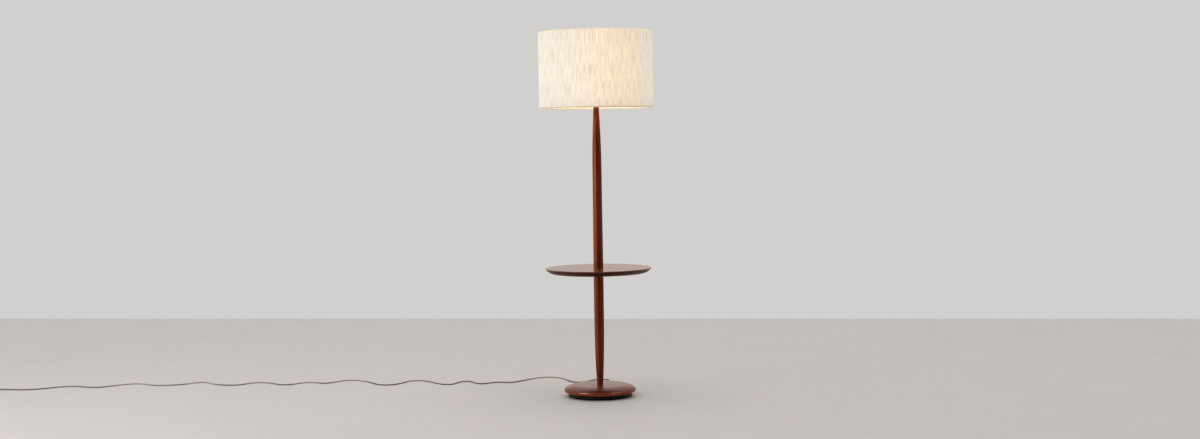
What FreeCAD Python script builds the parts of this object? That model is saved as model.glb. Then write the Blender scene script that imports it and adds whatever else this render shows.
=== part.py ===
import FreeCAD, Part
import math
import os

# A floor lamp with a round tray table half way up its pole. Sizes are millimetres.
# Z is up, the floor is at zero under the middle of the foot, and the front looks along -Y.

# Clearances, each side unless said otherwise
thread_gap = 0.05
running_gap = 0.05
glue_gap = 0.05
slip_gap = 0.15
seat_gap = 0.25
rod_gap = 0.35

# Foot: a felt pad, an iron weight that shows as a black plinth, and a turned wooden disc
felt_thickness = 2.0
felt_margin = 4.0
plinth_radius = 135.0
plinth_height = 19.0
boss_radius = 120.0
boss_height = 7.0
boss_headroom = 0.5
weight_bore = 34.0
groove_width = 8.0
disc_radius = 152.5
disc_thickness = 32.0
disc_lower_round = 8.7
disc_shoulder = 54.5
disc_shoulder_ease = 0.39
disc_crown = 1.0
hardware_recess_radius = 27.0
hardware_recess_depth = 18.0
tenon_radius = 9.0
tenon_length = 5.7
tenon_headroom = 0.3

# Screws that hold the weight in the disc
screw_count = 4
screw_circle = 90.0
screw_radius = 2.0
screw_head_radius = 4.2
screw_head_height = 3.2
screw_length = 34.0
screw_point = 3.0

# Threaded rods, nuts and washers
rod_radius = 4.95
rod_hole = 3.5
rod_end_past_nut = 1.5
nut_height = 5.9
nut_across_flats = 17.0
washer_thickness = 2.0
base_washer_radius = 25.0
lock_washer_radius = 8.5
lock_washer_thickness = 1.6
lock_washer_split = 1.5
table_washer_radius = 12.0
coupling_radius = 7.0
coupling_length = 34.0
coupling_lift = 2.0
rod_joint_gap = 0.6

# Pole: octagonal, turned a little from square to the front, widths as seen from the front
lower_pole_length = 473.5
upper_pole_length = 696.5
facet_turn = 10.5
lower_pole_widths = [
    (0.0, 25.6), (0.11, 32.0), (0.265, 37.2), (0.455, 40.5), (0.66, 41.5), (0.86, 41.7), (1.0, 41.5),
]
upper_pole_widths = [
    (0.0, 41.5), (0.155, 40.8), (0.41, 39.4), (0.59, 39.0), (0.71, 37.6), (0.835, 32.3), (0.94, 26.0),
    (1.0, 22.4),
]
pole_counterbore_radius = 13.0
pole_counterbore_depth = 52.0

# Table
table_radius = 224.0
table_thickness = 22.0
table_land = 3.0
table_edge_round = 0.8
table_bevel = 28.0
table_recess = 3.0

# Pole cap, harp and its saddle
cap_radius = 13.5
cap_thickness = 4.0
cap_round = 1.5
saddle_width = 13.0
saddle_thickness = 1.6
saddle_reach = 28.2
prong_width = 6.0
prong_height = 12.5
top_nut_height = 4.0
harp_wire_radius = 1.6
harp_height = 265.0
harp_neck_height = 31.0
harp_belly = 58.0
harp_belly_low = 92.0
harp_belly_high = 64.0
harp_shoulder = 44.0
harp_foot_lift = 1.5
harp_bends = [45.0, 70.0, 42.0]
sleeve_wall = 1.0
sleeve_lift = 4.5
sleeve_height = 12.0
seat_radius = 7.0
seat_below = 4.0
seat_above = 4.4
stud_radius = 3.1
stud_length = 17.0

# Socket
socket_hub_radius = 8.5
socket_hub_height = 10.0
socket_cup_height = 11.0
rod_end_past_hub = 2.5
socket_cup_rim = 5.0
socket_wall = 0.6
shell_radius = 17.3
shell_height = 47.0
liner_thickness = 0.7
insulator_height = 23.0
screw_shell_radius = 13.7
screw_shell_wall = 0.35
contact_radius = 3.0
contact_rise = 2.0
terminal_head_radius = 3.2
terminal_head_height = 2.0
terminal_shank_radius = 1.5
terminal_depth = 9.0
terminal_flat = 12.8
set_screw_radius = 1.5
set_screw_length = 3.0
stem_radius = 2.4
stem_depth = 8.0
stem_height = 14.0
knob_radius = 7.0
knob_length = 12.0
knob_gap = 3.0
knob_socket_depth = 9.0
knob_groove_radius = 0.9
knob_groove_count = 12

# Bulb
bulb_radius = 30.0
bulb_length = 106.0
bulb_wall = 0.9
bulb_cap_radius = 13.1
bulb_cap_height = 24.0
bulb_cap_wall = 0.35
bulb_neck_radius = 13.6
bulb_neck_height = 14.0
bulb_tip_radius = 5.5
bulb_tip_height = 3.0
bulb_air_gap = 0.1

# Shade: a drum of linen on a stiff liner, with a wire ring in each hem
shade_radius = 241.0
shade_height = 321.0
hem_height = 5.0
hem_inner_lip = 4.0
hem_cloth = 0.55
hem_width = 6.0
linen_thickness = 0.7
liner_wall = 0.7
ring_wire_radius = 1.5
spider_drop = 24.4
spider_arm_radius = 1.4
spider_arm_count = 3
spider_hub_radius = 14.0
spider_hub_thickness = 1.6
finial_height = 23.0
finial_foot_radius = 7.0
finial_neck_radius = 4.3
finial_ball_radius = 7.5
finial_depth = 15.0

# Cord, strain relief and plug
cord_radius = 2.5
lead_bend_radius = 15.0
lead_past_rod = 1.0
wire_radius = 0.9
wire_rise = 3.3
relief_inside = 14.0
relief_outside = 28.0
relief_collar_radius = 4.5
relief_collar_width = 3.0
relief_tip_radius = 3.3
coil_turns = 4
coil_pitch = 5.6
coil_inner_radius = 22.2
coil_lift = 1.5
plug_lead = 30.0
plug_length = 31.0
plug_width = 27.0
plug_thickness = 18.8
plug_edge_round = 4.0
plug_neck_length = 15.0
plug_neck_radius = 6.5
blade_spacing = 12.7
blade_thickness = 1.5
blade_reach = 17.5
blade_width = 6.35
wide_blade_width = 7.9
blade_root = 8.0
tie_width = 8.0
tie_thickness = 1.0
tie_slack = 0.7

# Heights that follow from the sizes above
groove_height = 2 * cord_radius + 3.0
lead_height = felt_thickness + groove_height / 2
disc_top = plinth_height + disc_thickness
hardware_seat = plinth_height + hardware_recess_depth
base_nut_low = hardware_seat - washer_thickness - lock_washer_thickness - nut_height
lower_rod_low = base_nut_low - rod_end_past_nut
table_under = disc_top + lower_pole_length
table_top = table_under + table_thickness
upper_pole_foot = table_top - table_recess
table_nut_low = upper_pole_foot + washer_thickness
coupling_low = table_nut_low + nut_height + coupling_lift
rod_joint = coupling_low + coupling_length / 2
upper_pole_top = upper_pole_foot + upper_pole_length
cap_top = upper_pole_top + cap_thickness
saddle_top = cap_top + saddle_thickness
socket_low = saddle_top + top_nut_height
cup_low = socket_low + socket_hub_height
insulator_low = cup_low + socket_cup_height
insulator_top = insulator_low + insulator_height
upper_rod_top = cup_low + rod_end_past_hub
shell_low = insulator_low + slip_gap
shell_top = shell_low + shell_height
stem_axis = insulator_low + stem_height
contact_top = insulator_top + socket_wall + contact_rise
bulb_low = contact_top + bulb_air_gap
bulb_cap_low = bulb_low + bulb_tip_height
harp_top = saddle_top + harp_height
hub_low = harp_top + seat_above
ring_height = hub_low + spider_hub_thickness / 2 + spider_drop
shade_top = ring_height + ring_wire_radius + seat_gap + hem_cloth
shade_low = shade_top - shade_height

# Radii of the shade's layers, outside in
hem_outer_wall = shade_radius - hem_cloth
linen_radius = hem_outer_wall - glue_gap
liner_outer = linen_radius - linen_thickness - glue_gap
liner_inner = liner_outer - liner_wall
ring_radius = liner_inner - slip_gap - ring_wire_radius
hem_inner_radius = shade_radius - hem_width

# The cord's way over the floor: from the back of the foot, round to the left in loose waves
floor_cord = cord_radius + 0.1
relief_end = plinth_radius + relief_outside
coil_height = floor_cord + coil_lift
cord_route = [
    (0, relief_end, lead_height), (0, relief_end + 25, lead_height), (4, 222, 4.2), (13, 262, 2.9),
    (25, 310, floor_cord), (39, 355, floor_cord), (41, 404, floor_cord), (40, 448, floor_cord),
    (9, 470, floor_cord), (-27, 450, floor_cord), (-50, 416, floor_cord), (-72, 388, floor_cord),
    (-98, 379, floor_cord), (-122, 392, floor_cord), (-142, 432, floor_cord), (-158, 482, floor_cord),
    (-186, 532, floor_cord), (-232, 562, floor_cord), (-284, 542, floor_cord), (-324, 498, floor_cord),
    (-358, 448, floor_cord), (-394, 408, floor_cord), (-430, 408, floor_cord), (-466, 426, floor_cord),
    (-499, 396, floor_cord), (-537, 375, floor_cord), (-566, 408, floor_cord), (-585, 457, floor_cord),
    (-624, 462, floor_cord), (-646, 416, floor_cord), (-664, 372, floor_cord), (-704, 374, floor_cord),
    (-742, 420, floor_cord), (-780, 480, floor_cord), (-828, 514, floor_cord), (-872, 494, floor_cord),
    (-894, 434, floor_cord), (-928, 390, floor_cord), (-974, 382, floor_cord), (-1012, 416, floor_cord),
    (-1042, 470, floor_cord), (-1084, 524, floor_cord), (-1136, 558, floor_cord), (-1186, 534, floor_cord),
    (-1218, 480, floor_cord), (-1256, 460, floor_cord), (-1302, 498, floor_cord), (-1346, 502, floor_cord),
    (-1382, 454, floor_cord), (-1424, 428, floor_cord), (-1470, 460, floor_cord), (-1512, 506, floor_cord),
    (-1562, 528, floor_cord), (-1604, 494, floor_cord), (-1640, 444, floor_cord), (-1690, 450, floor_cord),
    (-1742, 472, floor_cord), (-1782, 520, floor_cord), (-1826, 564, floor_cord), (-1866, 524, floor_cord),
    (-1912, 484, floor_cord), (-1968, 474, floor_cord), (-2020, 468, floor_cord), (-2066, 510, floor_cord),
    (-2116, 542, floor_cord), (-2170, 524, floor_cord), (-2214, 479, floor_cord), (-2262, 442, floor_cord),
    (-2318, 448, floor_cord), (-2370, 481, floor_cord), (-2428, 486, floor_cord), (-2482, 450, floor_cord),
    (-2536, 410, floor_cord), (-2590, 396, floor_cord + 0.3), (-2646, 404, coil_height - 0.4),
    (-2690, 412, coil_height), (-2732, 412, coil_height),
]

origin = FreeCAD.Vector(0, 0, 0)
up = FreeCAD.Vector(0, 0, 1)


def at(x, y, z):
    return FreeCAD.Vector(x, y, z)


def save(name, shape):
    shape.exportStep(os.path.join("parts", name + ".step"))


def line(start, end):
    return Part.LineSegment(at(start[0], 0, start[1]), at(end[0], 0, end[1])).toShape()


def arc(start, middle, end):
    points = [at(r, 0, z) for r, z in (start, middle, end)]
    return Part.Arc(*points).toShape()


def bezier(*points):
    curve = Part.BezierCurve()
    curve.setPoles([at(r, 0, z) for r, z in points])
    return curve.toShape()


def outline(*points):
    return [line(a, b) for a, b in zip(points, points[1:] + points[:1])]


def turned(edges):
    # A solid of revolution about the upright axis, from a closed outline of radius and height.
    return Part.Face(Part.Wire(edges)).revolve(origin, up, 360)


def disc(radius, low, high):
    return Part.makeCylinder(radius, high - low, at(0, 0, low))


def ring(inner, outer, low, high):
    return turned(outline((inner, low), (outer, low), (outer, high), (inner, high)))


def box(low, high):
    size = [b - a for a, b in zip(low, high)]
    return Part.makeBox(*size, at(*low))


def hexagon(across_flats, low, high):
    radius = across_flats / math.sqrt(3)
    angles = [i * math.pi / 3 for i in range(6)]
    corners = [at(radius * math.cos(a), radius * math.sin(a), low) for a in angles]
    face = Part.Face(Part.makePolygon(corners + corners[:1]))
    return face.extrude(at(0, 0, high - low))


def nut(across_flats, bore, low, high):
    return hexagon(across_flats, low, high).cut(disc(bore, low, high))


def octagon(width, height):
    # Eight corners whose outline, seen from the front, is as wide as asked.
    offset = math.radians(22.5 - facet_turn)
    radius = width / 2 / math.cos(offset)
    angles = [i * math.pi / 4 - offset for i in range(8)]
    corners = [at(radius * math.cos(a), radius * math.sin(a), height) for a in angles]
    return Part.makePolygon(corners + corners[:1])


def around(shape, count, start=0.0):
    copies = []
    for i in range(count):
        copy = shape.copy()
        copy.rotate(origin, up, start + i * 360.0 / count)
        copies.append(copy)
    return copies


def facing(shape, direction, place):
    # Turns a shape from the Z axis to a level direction and puts its origin at a place.
    turned_shape = shape.copy()
    turned_shape.Placement = FreeCAD.Placement(place, FreeCAD.Rotation(up, direction))
    return turned_shape


def rounded_path(points, radii):
    # Straight runs joined by tangent arcs, one radius for each inner corner.
    edges = []
    start = points[0]
    for before, corner, after, radius in zip(points, points[1:], points[2:], radii):
        incoming = (corner - before).normalize()
        outgoing = (after - corner).normalize()
        half_turn = incoming.getAngle(outgoing) / 2
        setback = radius * math.tan(half_turn)
        inward = (outgoing - incoming).normalize()
        arc_start = corner - incoming * setback
        arc_end = corner + outgoing * setback
        middle = corner + inward * (radius / math.cos(half_turn) - radius)
        edges.append(Part.LineSegment(start, arc_start).toShape())
        edges.append(Part.Arc(arc_start, middle, arc_end).toShape())
        start = arc_end
    edges.append(Part.LineSegment(start, points[-1]).toShape())
    return Part.Wire(edges)


def pipe(path, radius):
    first = path.OrderedEdges[0]
    start = first.firstVertex(True).Point
    direction = first.tangentAt(first.FirstParameter)
    section = Part.Wire(Part.makeCircle(radius, start, direction))
    return path.makePipeShell([section], True, False)


def felt_pad():
    save("felt_pad", disc(plinth_radius - felt_margin, 0, felt_thickness))


def screw_places(shape):
    moved = shape.copy()
    moved.translate(at(screw_circle, 0, 0))
    return around(moved, screw_count, 180.0 / screw_count)


def base_weight():
    boss_top = plinth_height + boss_height
    outer = outline(
        (weight_bore, felt_thickness), (plinth_radius, felt_thickness), (plinth_radius, plinth_height),
        (boss_radius, plinth_height), (boss_radius, boss_top), (weight_bore, boss_top),
    )
    shape = turned(outer)
    half = groove_width / 2
    groove = box((-half, 0, felt_thickness), (half, plinth_radius + 1, felt_thickness + groove_height))
    shape = shape.cut(groove)
    head_top = felt_thickness + slip_gap + screw_head_height
    for hole in screw_places(disc(screw_radius + slip_gap, felt_thickness, boss_top)):
        shape = shape.cut(hole)
    for seat in screw_places(disc(screw_head_radius + seat_gap, felt_thickness, head_top)):
        shape = shape.cut(seat)
    save("base_weight", shape)


def weight_screws():
    head_low = felt_thickness + slip_gap
    head_top = head_low + screw_head_height
    tip = head_top + screw_length
    screw = turned(outline(
        (0, head_low), (screw_head_radius, head_low), (screw_head_radius, head_top), (screw_radius, head_top),
        (screw_radius, tip - screw_point), (0, tip),
    ))
    slot = box((-screw_head_radius, -0.5, head_low), (screw_head_radius, 0.5, head_low + 1.2))
    save("weight_screws", Part.makeCompound(screw_places(screw.cut(slot))))


def base_top():
    widest = plinth_height + disc_lower_round
    shoulder = disc_radius - disc_shoulder
    shoulder_height = disc_top - disc_crown
    pole_seat = lower_pole_widths[0][1]
    lower_centre = disc_radius - disc_lower_round
    slant = disc_lower_round * math.sqrt(0.5)
    # Handles of the shoulder's curve, upright at the rim and level at the top.
    handle_up = widest + disc_shoulder_ease * (shoulder_height - widest)
    handle_out = shoulder + disc_shoulder_ease * disc_shoulder
    shape = turned([
        line((0, plinth_height), (lower_centre, plinth_height)),
        arc((lower_centre, plinth_height), (lower_centre + slant, widest - slant), (disc_radius, widest)),
        bezier((disc_radius, widest), (disc_radius, handle_up), (handle_out, shoulder_height),
               (shoulder, shoulder_height)),
        line((shoulder, shoulder_height), (pole_seat, disc_top)),
        line((pole_seat, disc_top), (0, disc_top)),
        line((0, disc_top), (0, plinth_height)),
    ])
    boss_recess = plinth_height + boss_height + boss_headroom
    shape = shape.cut(disc(boss_radius + seat_gap, plinth_height, boss_recess))
    shape = shape.cut(disc(hardware_recess_radius, plinth_height, hardware_seat))
    shape = shape.cut(disc(rod_radius + rod_gap, hardware_seat, disc_top))
    shape = shape.cut(disc(tenon_radius + seat_gap, disc_top - tenon_length - tenon_headroom, disc_top))
    tip = felt_thickness + slip_gap + screw_head_height + screw_length
    for pilot in screw_places(disc(screw_radius + thread_gap, boss_recess, tip + 1)):
        shape = shape.cut(pilot)
    save("base_top", shape)


def base_hardware():
    washer_low = hardware_seat - washer_thickness
    lock_low = washer_low - lock_washer_thickness
    save("base_washer", ring(rod_radius + slip_gap, base_washer_radius, washer_low, hardware_seat))
    lock_washer = ring(rod_radius + slip_gap, lock_washer_radius, lock_low, washer_low)
    half_split = lock_washer_split / 2
    split = box((0, -half_split, lock_low), (lock_washer_radius, half_split, washer_low))
    save("base_lock_washer", lock_washer.cut(split))
    save("base_nut", nut(nut_across_flats, rod_radius + thread_gap, base_nut_low, lock_low))


def rods():
    half_gap = rod_joint_gap / 2
    save("lower_rod", ring(rod_hole, rod_radius, lower_rod_low, rod_joint - half_gap))
    save("upper_rod", ring(rod_hole, rod_radius, rod_joint + half_gap, upper_rod_top))
    coupling = ring(rod_radius + thread_gap, coupling_radius, coupling_low, coupling_low + coupling_length)
    save("rod_coupling", coupling)


def tapered_pole(foot, length, widths):
    sections = [octagon(width, foot + share * length) for share, width in widths]
    return Part.makeLoft(sections, True, False)


def lower_pole():
    shape = tapered_pole(disc_top, lower_pole_length, lower_pole_widths)
    tenon_low = disc_top - tenon_length
    shape = shape.fuse(disc(tenon_radius, tenon_low, disc_top + 1))
    shape = shape.cut(disc(rod_radius + rod_gap, tenon_low, table_under))
    save("lower_pole", shape)


def upper_pole():
    shape = tapered_pole(upper_pole_foot, upper_pole_length, upper_pole_widths)
    shape = shape.cut(disc(rod_radius + rod_gap, upper_pole_foot, upper_pole_top))
    counterbore_top = upper_pole_foot + pole_counterbore_depth
    shape = shape.cut(disc(pole_counterbore_radius, upper_pole_foot, counterbore_top))
    save("upper_pole", shape)


def table():
    inner_edge = table_radius - table_bevel
    land_low = table_top - table_land
    rounding = table_edge_round
    slant = rounding * math.sqrt(0.5)
    centre_r = table_radius - rounding
    centre_z = table_top - rounding
    handle = (inner_edge + 0.62 * table_bevel, table_under + 0.18 * table_thickness)
    shape = turned([
        line((0, table_under), (inner_edge, table_under)),
        bezier((inner_edge, table_under), handle, (table_radius, land_low)),
        line((table_radius, land_low), (table_radius, centre_z)),
        arc((table_radius, centre_z), (centre_r + slant, centre_z + slant), (centre_r, table_top)),
        line((centre_r, table_top), (0, table_top)),
        line((0, table_top), (0, table_under)),
    ])
    foot_width = upper_pole_widths[0][1] + 2 * seat_gap
    recess = Part.Face(octagon(foot_width, upper_pole_foot)).extrude(at(0, 0, table_recess))
    shape = shape.cut(recess)
    shape = shape.cut(disc(rod_radius + rod_gap, table_under, upper_pole_foot))
    save("table_top", shape)
    save("table_washer", ring(rod_radius + slip_gap, table_washer_radius, upper_pole_foot, table_nut_low))
    nut_top = table_nut_low + nut_height
    save("table_nut", nut(nut_across_flats, rod_radius + thread_gap, table_nut_low, nut_top))


def pole_cap():
    bore = rod_radius + slip_gap
    slant = cap_round * (1 - math.sqrt(0.5))
    round_low = cap_top - cap_round
    round_in = cap_radius - cap_round
    shape = turned([
        line((bore, upper_pole_top), (cap_radius, upper_pole_top)),
        line((cap_radius, upper_pole_top), (cap_radius, round_low)),
        arc((cap_radius, round_low), (cap_radius - slant, cap_top - slant), (round_in, cap_top)),
        line((round_in, cap_top), (bore, cap_top)),
        line((bore, cap_top), (bore, upper_pole_top)),
    ])
    save("pole_cap", shape)
    save("top_nut", nut(nut_across_flats, rod_radius + thread_gap, saddle_top, socket_low))


def mirrored(shape):
    return shape.mirror(origin, at(1, 0, 0))


def harp_saddle():
    reach = saddle_reach + saddle_thickness
    strip = box((-reach, -saddle_width / 2, cap_top), (reach, saddle_width / 2, saddle_top))
    prong_top = saddle_top + prong_height
    prong = box((saddle_reach, -prong_width / 2, saddle_top), (reach, prong_width / 2, prong_top))
    shape = strip.fuse([prong, mirrored(prong)])
    save("harp_saddle", shape.cut(disc(rod_radius + slip_gap, cap_top, saddle_top)))


def harp_leg():
    return saddle_reach - slip_gap - harp_wire_radius


def harp():
    foot = saddle_top + harp_foot_lift
    right = [
        at(harp_leg(), 0, foot), at(harp_leg(), 0, saddle_top + harp_neck_height),
        at(harp_belly, 0, saddle_top + harp_belly_low), at(harp_belly, 0, harp_top - harp_belly_high),
        at(harp_shoulder, 0, harp_top),
    ]
    left = [at(-p.x, p.y, p.z) for p in reversed(right)]
    bends = harp_bends + [harp_shoulder_bend()]
    shape = pipe(rounded_path(right + left, bends + bends[::-1]), harp_wire_radius)
    save("harp", shape)


def harp_shoulder_bend():
    # The widest bend that leaves the wire straight where it passes through the seat.
    side = at(harp_shoulder - harp_belly, 0, harp_belly_high).normalize()
    half_turn = side.getAngle(at(-1, 0, 0)) / 2
    return (harp_shoulder - seat_radius - harp_wire_radius) / math.tan(half_turn)


def harp_sleeves():
    top_of_prong = saddle_top + sleeve_lift
    inner_low = harp_leg() - harp_wire_radius - slip_gap
    inner_high = saddle_reach + saddle_thickness + slip_gap
    half_depth = prong_width / 2 + slip_gap
    outer = box((inner_low - sleeve_wall, -half_depth - sleeve_wall, top_of_prong),
                (inner_high + sleeve_wall, half_depth + sleeve_wall, top_of_prong + sleeve_height))
    hole = box((inner_low, -half_depth, top_of_prong), (inner_high, half_depth, top_of_prong + sleeve_height))
    sleeve = outer.makeFillet(sleeve_wall * 0.8, upright_edges(outer)).cut(hole)
    save("harp_sleeves", Part.makeCompound([sleeve, mirrored(sleeve)]))


def upright_edges(shape):
    return [e for e in shape.Edges if abs(e.tangentAt(e.FirstParameter).z) > 0.99]


def harp_seat():
    seat = disc(seat_radius, harp_top - seat_below, hub_low)
    stud = disc(stud_radius, hub_low, hub_low + stud_length)
    start = at(-seat_radius, 0, harp_top)
    cross_hole = Part.makeCylinder(harp_wire_radius + glue_gap, 2 * seat_radius, start, at(1, 0, 0))
    save("harp_seat", seat.fuse(stud).cut(cross_hole))


def socket_cap():
    bore = rod_radius + thread_gap
    rim_top = insulator_low + socket_cup_rim
    cup_outer = shell_radius + slip_gap + socket_wall
    shape = turned(outline(
        (bore, socket_low), (socket_hub_radius, socket_low), (socket_hub_radius, cup_low),
        (cup_outer, insulator_low - socket_wall), (cup_outer, rim_top), (cup_outer - socket_wall, rim_top),
        (cup_outer - socket_wall, insulator_low), (socket_hub_radius, cup_low + socket_wall),
        (bore, cup_low + socket_wall),
    ))
    hub_middle = (socket_low + cup_low) / 2
    length = socket_hub_radius - rod_radius + 1
    start = at(rod_radius, 0, hub_middle)
    hole = Part.makeCylinder(set_screw_radius + thread_gap, length, start, at(1, 0, 0))
    save("socket_cap", shape.cut(hole))
    screw = Part.makeCylinder(set_screw_radius, set_screw_length, origin)
    slot = box((-set_screw_radius, -0.3, set_screw_length - 0.8), (set_screw_radius, 0.3, set_screw_length))
    place = at(rod_radius + thread_gap, 0, hub_middle)
    save("socket_set_screw", facing(screw.cut(slot), at(1, 0, 0), place))


def stem_hole(radius):
    return Part.makeCylinder(radius, 2 * shell_radius, at(0, 0, stem_axis), at(0, -1, 0))


def socket_shells():
    liner_outer_radius = shell_radius - socket_wall - slip_gap
    liner_inner_radius = liner_outer_radius - liner_thickness
    shell = ring(shell_radius - socket_wall, shell_radius, shell_low, shell_top)
    save("socket_shell", shell.cut(stem_hole(stem_radius + 1.0)))
    liner = ring(liner_inner_radius, liner_outer_radius, insulator_low + seat_gap, shell_top - 1)
    save("socket_liner", liner.cut(stem_hole(stem_radius + 0.8)))
    return liner_inner_radius


def terminal_height():
    return insulator_low + insulator_height / 2


def socket_insulator(radius):
    body = disc(radius, insulator_low, insulator_top)
    side = box((terminal_flat, -radius, insulator_low), (radius, radius, insulator_top))
    body = body.cut(side).cut(mirrored(side))
    stem_start = at(0, -radius, stem_axis)
    body = body.cut(Part.makeCylinder(stem_radius + running_gap, radius, stem_start, at(0, 1, 0)))
    start = at(terminal_flat - terminal_depth, 0, terminal_height())
    hole = Part.makeCylinder(terminal_shank_radius + thread_gap, terminal_depth, start, at(1, 0, 0))
    body = body.cut([hole, mirrored(hole)])
    save("socket_insulator", body)


def terminal_screws():
    head = disc(terminal_head_radius, 0, terminal_head_height)
    shank = disc(terminal_shank_radius, -terminal_depth + 0.3, 0)
    slot = box((-terminal_head_radius, -0.4, terminal_head_height - 0.8), (terminal_head_radius, 0.4,
                                                                          terminal_head_height))
    screw = facing(head.fuse(shank).cut(slot), at(1, 0, 0), at(terminal_flat, 0, terminal_height()))
    save("terminal_screws", Part.makeCompound([screw, mirrored(screw)]))


def screw_shell():
    floor_top = insulator_top + screw_shell_wall
    outer = disc(screw_shell_radius, insulator_top, shell_top - 2)
    inside = disc(screw_shell_radius - screw_shell_wall, floor_top, shell_top - 2)
    save("screw_shell", outer.cut(inside).cut(disc(contact_radius + 1.5, insulator_top, floor_top)))
    save("centre_contact", disc(contact_radius, insulator_top, contact_top))


def switch():
    stem_end = shell_radius + knob_gap + knob_socket_depth
    stem = disc(stem_radius, stem_depth, stem_end)
    save("switch_stem", facing(stem, at(0, -1, 0), at(0, 0, stem_axis)))
    low = shell_radius + knob_gap
    knob = disc(knob_radius, low, low + knob_length)
    knob = knob.makeFillet(1.2, [e for e in knob.Edges if e.BoundBox.ZMin > low + knob_length - 0.1])
    groove = Part.makeCylinder(knob_groove_radius, knob_length, at(knob_radius + 0.3, 0, low + 1.5))
    knob = knob.cut(around(groove, knob_groove_count))
    knob = knob.cut(disc(stem_radius + glue_gap, low, stem_end + 0.2))
    save("switch_knob", facing(knob, at(0, -1, 0), at(0, 0, stem_axis)))


def bulb():
    cap_top_height = bulb_cap_low + bulb_cap_height
    cap_inside = bulb_cap_radius - bulb_cap_wall
    cap = disc(bulb_cap_radius, bulb_cap_low, cap_top_height)
    cap = cap.cut(disc(cap_inside, bulb_cap_low + bulb_cap_wall, cap_top_height))
    save("bulb_cap", cap)
    tip = turned(outline((0, bulb_low), (bulb_tip_radius * 0.6, bulb_low), (bulb_tip_radius, bulb_cap_low),
                         (0, bulb_cap_low)))
    save("bulb_contact", tip)
    save("bulb_glass", bulb_glass(cap_top_height))


def bulb_glass(cap_top_height):
    neck_low = cap_top_height + glue_gap
    neck_top = neck_low + bulb_neck_height
    top = bulb_low + bulb_length
    centre = top - bulb_radius
    outer = glass_outline(bulb_neck_radius, neck_low, neck_top, centre, bulb_radius)
    inner = glass_outline(bulb_neck_radius - bulb_wall, neck_low, neck_top, centre, bulb_radius - bulb_wall)
    return turned(outer).cut(turned(inner))


def glass_outline(neck, low, neck_top, centre, radius):
    slant = radius * math.sqrt(0.5)
    return [
        line((0, low), (neck, low)),
        line((neck, low), (neck, neck_top)),
        bezier((neck, neck_top), (neck + 0.05 * radius, neck_top + 0.3 * radius),
               (radius, centre - 0.75 * radius), (radius, centre)),
        arc((radius, centre), (slant, centre + slant), (0, centre + radius)),
        line((0, centre + radius), (0, low)),
    ]


def shade_drum():
    edge = hem_cloth + glue_gap
    low = shade_low + edge
    high = shade_top - edge
    save("shade_liner", ring(liner_inner, liner_outer, low, high))
    save("shade_linen", ring(linen_radius - linen_thickness, linen_radius, low, high))


def hem(edge, inward):
    # The folded tape round a rim: down the outside, over the edge and a short way up the inside.
    lip = hem_inner_radius + hem_cloth
    over = edge + inward * hem_cloth
    outer_end = edge + inward * hem_height
    lip_end = edge + inward * hem_inner_lip
    return turned(outline(
        (hem_inner_radius, edge), (shade_radius, edge),
        (shade_radius, outer_end), (hem_outer_wall, outer_end),
        (hem_outer_wall, over), (lip, over),
        (lip, lip_end), (hem_inner_radius, lip_end),
    ))


def arm_axis():
    start = at(spider_hub_radius - 3, 0, hub_low + spider_hub_thickness / 2)
    return start, at(ring_radius, 0, ring_height) - start


def arm(radius):
    start, along = arm_axis()
    return Part.makeCylinder(radius, along.Length, start, along)


def shade_frame():
    hub = ring(stud_radius + slip_gap, spider_hub_radius, hub_low, hub_low + spider_hub_thickness)
    top_ring = Part.makeTorus(ring_radius, ring_wire_radius, at(0, 0, ring_height))
    save("shade_spider", hub.fuse(around(arm(spider_arm_radius), spider_arm_count, 90) + [top_ring]))
    low_height = shade_low + hem_cloth + seat_gap + ring_wire_radius
    save("shade_bottom_ring", Part.makeTorus(ring_radius, ring_wire_radius, at(0, 0, low_height)))
    top_hem = hem(shade_top, -1).cut(around(arm(spider_arm_radius + seat_gap), spider_arm_count, 90))
    save("shade_top_hem", top_hem)
    save("shade_bottom_hem", hem(shade_low, 1))


def finial():
    foot = hub_low + spider_hub_thickness
    top = foot + finial_height
    foot_top = foot + 2.5
    ball = finial_ball_radius
    ball_centre = top - 2 - ball
    join = ball_centre - math.sqrt(ball ** 2 - finial_neck_radius ** 2)
    body = turned(outline((0, foot), (finial_foot_radius, foot), (finial_foot_radius, foot_top),
                          (finial_neck_radius, foot_top + 2), (finial_neck_radius, join + 1), (0, join + 1)))
    tip = Part.makeCone(2.2, 1.0, 2.5, at(0, 0, top - 2.5))
    shape = body.fuse([Part.makeSphere(ball, at(0, 0, ball_centre)), tip])
    shape = shape.cut(disc(stud_radius + thread_gap, foot, foot + finial_depth + 0.4))
    save("finial", shape)


def inner_lead():
    # The supply lead: down the rods, round into the groove of the weight, out through the strain relief.
    points = [at(0, 0, upper_rod_top + lead_past_rod), at(0, 0, lead_height), at(0, relief_end, lead_height)]
    save("inner_lead", pipe(rounded_path(points, [lead_bend_radius]), cord_radius))


def socket_wires():
    # Two conductors from the end of the lead, out over the cup and up beside the terminal screws.
    low = upper_rod_top + lead_past_rod
    apart = wire_radius + 0.2
    side = terminal_flat + wire_radius + slip_gap
    across = -terminal_head_radius - wire_radius - seat_gap
    points = [
        at(apart, 0, low), at(apart, 0, low + wire_rise), at(side, across, insulator_low - wire_radius - 0.8),
        at(side, across, terminal_height()),
    ]
    wire = pipe(rounded_path(points, [1.5, 2.0]), wire_radius)
    save("socket_wires", Part.makeCompound([wire, mirrored(wire)]))


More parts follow.
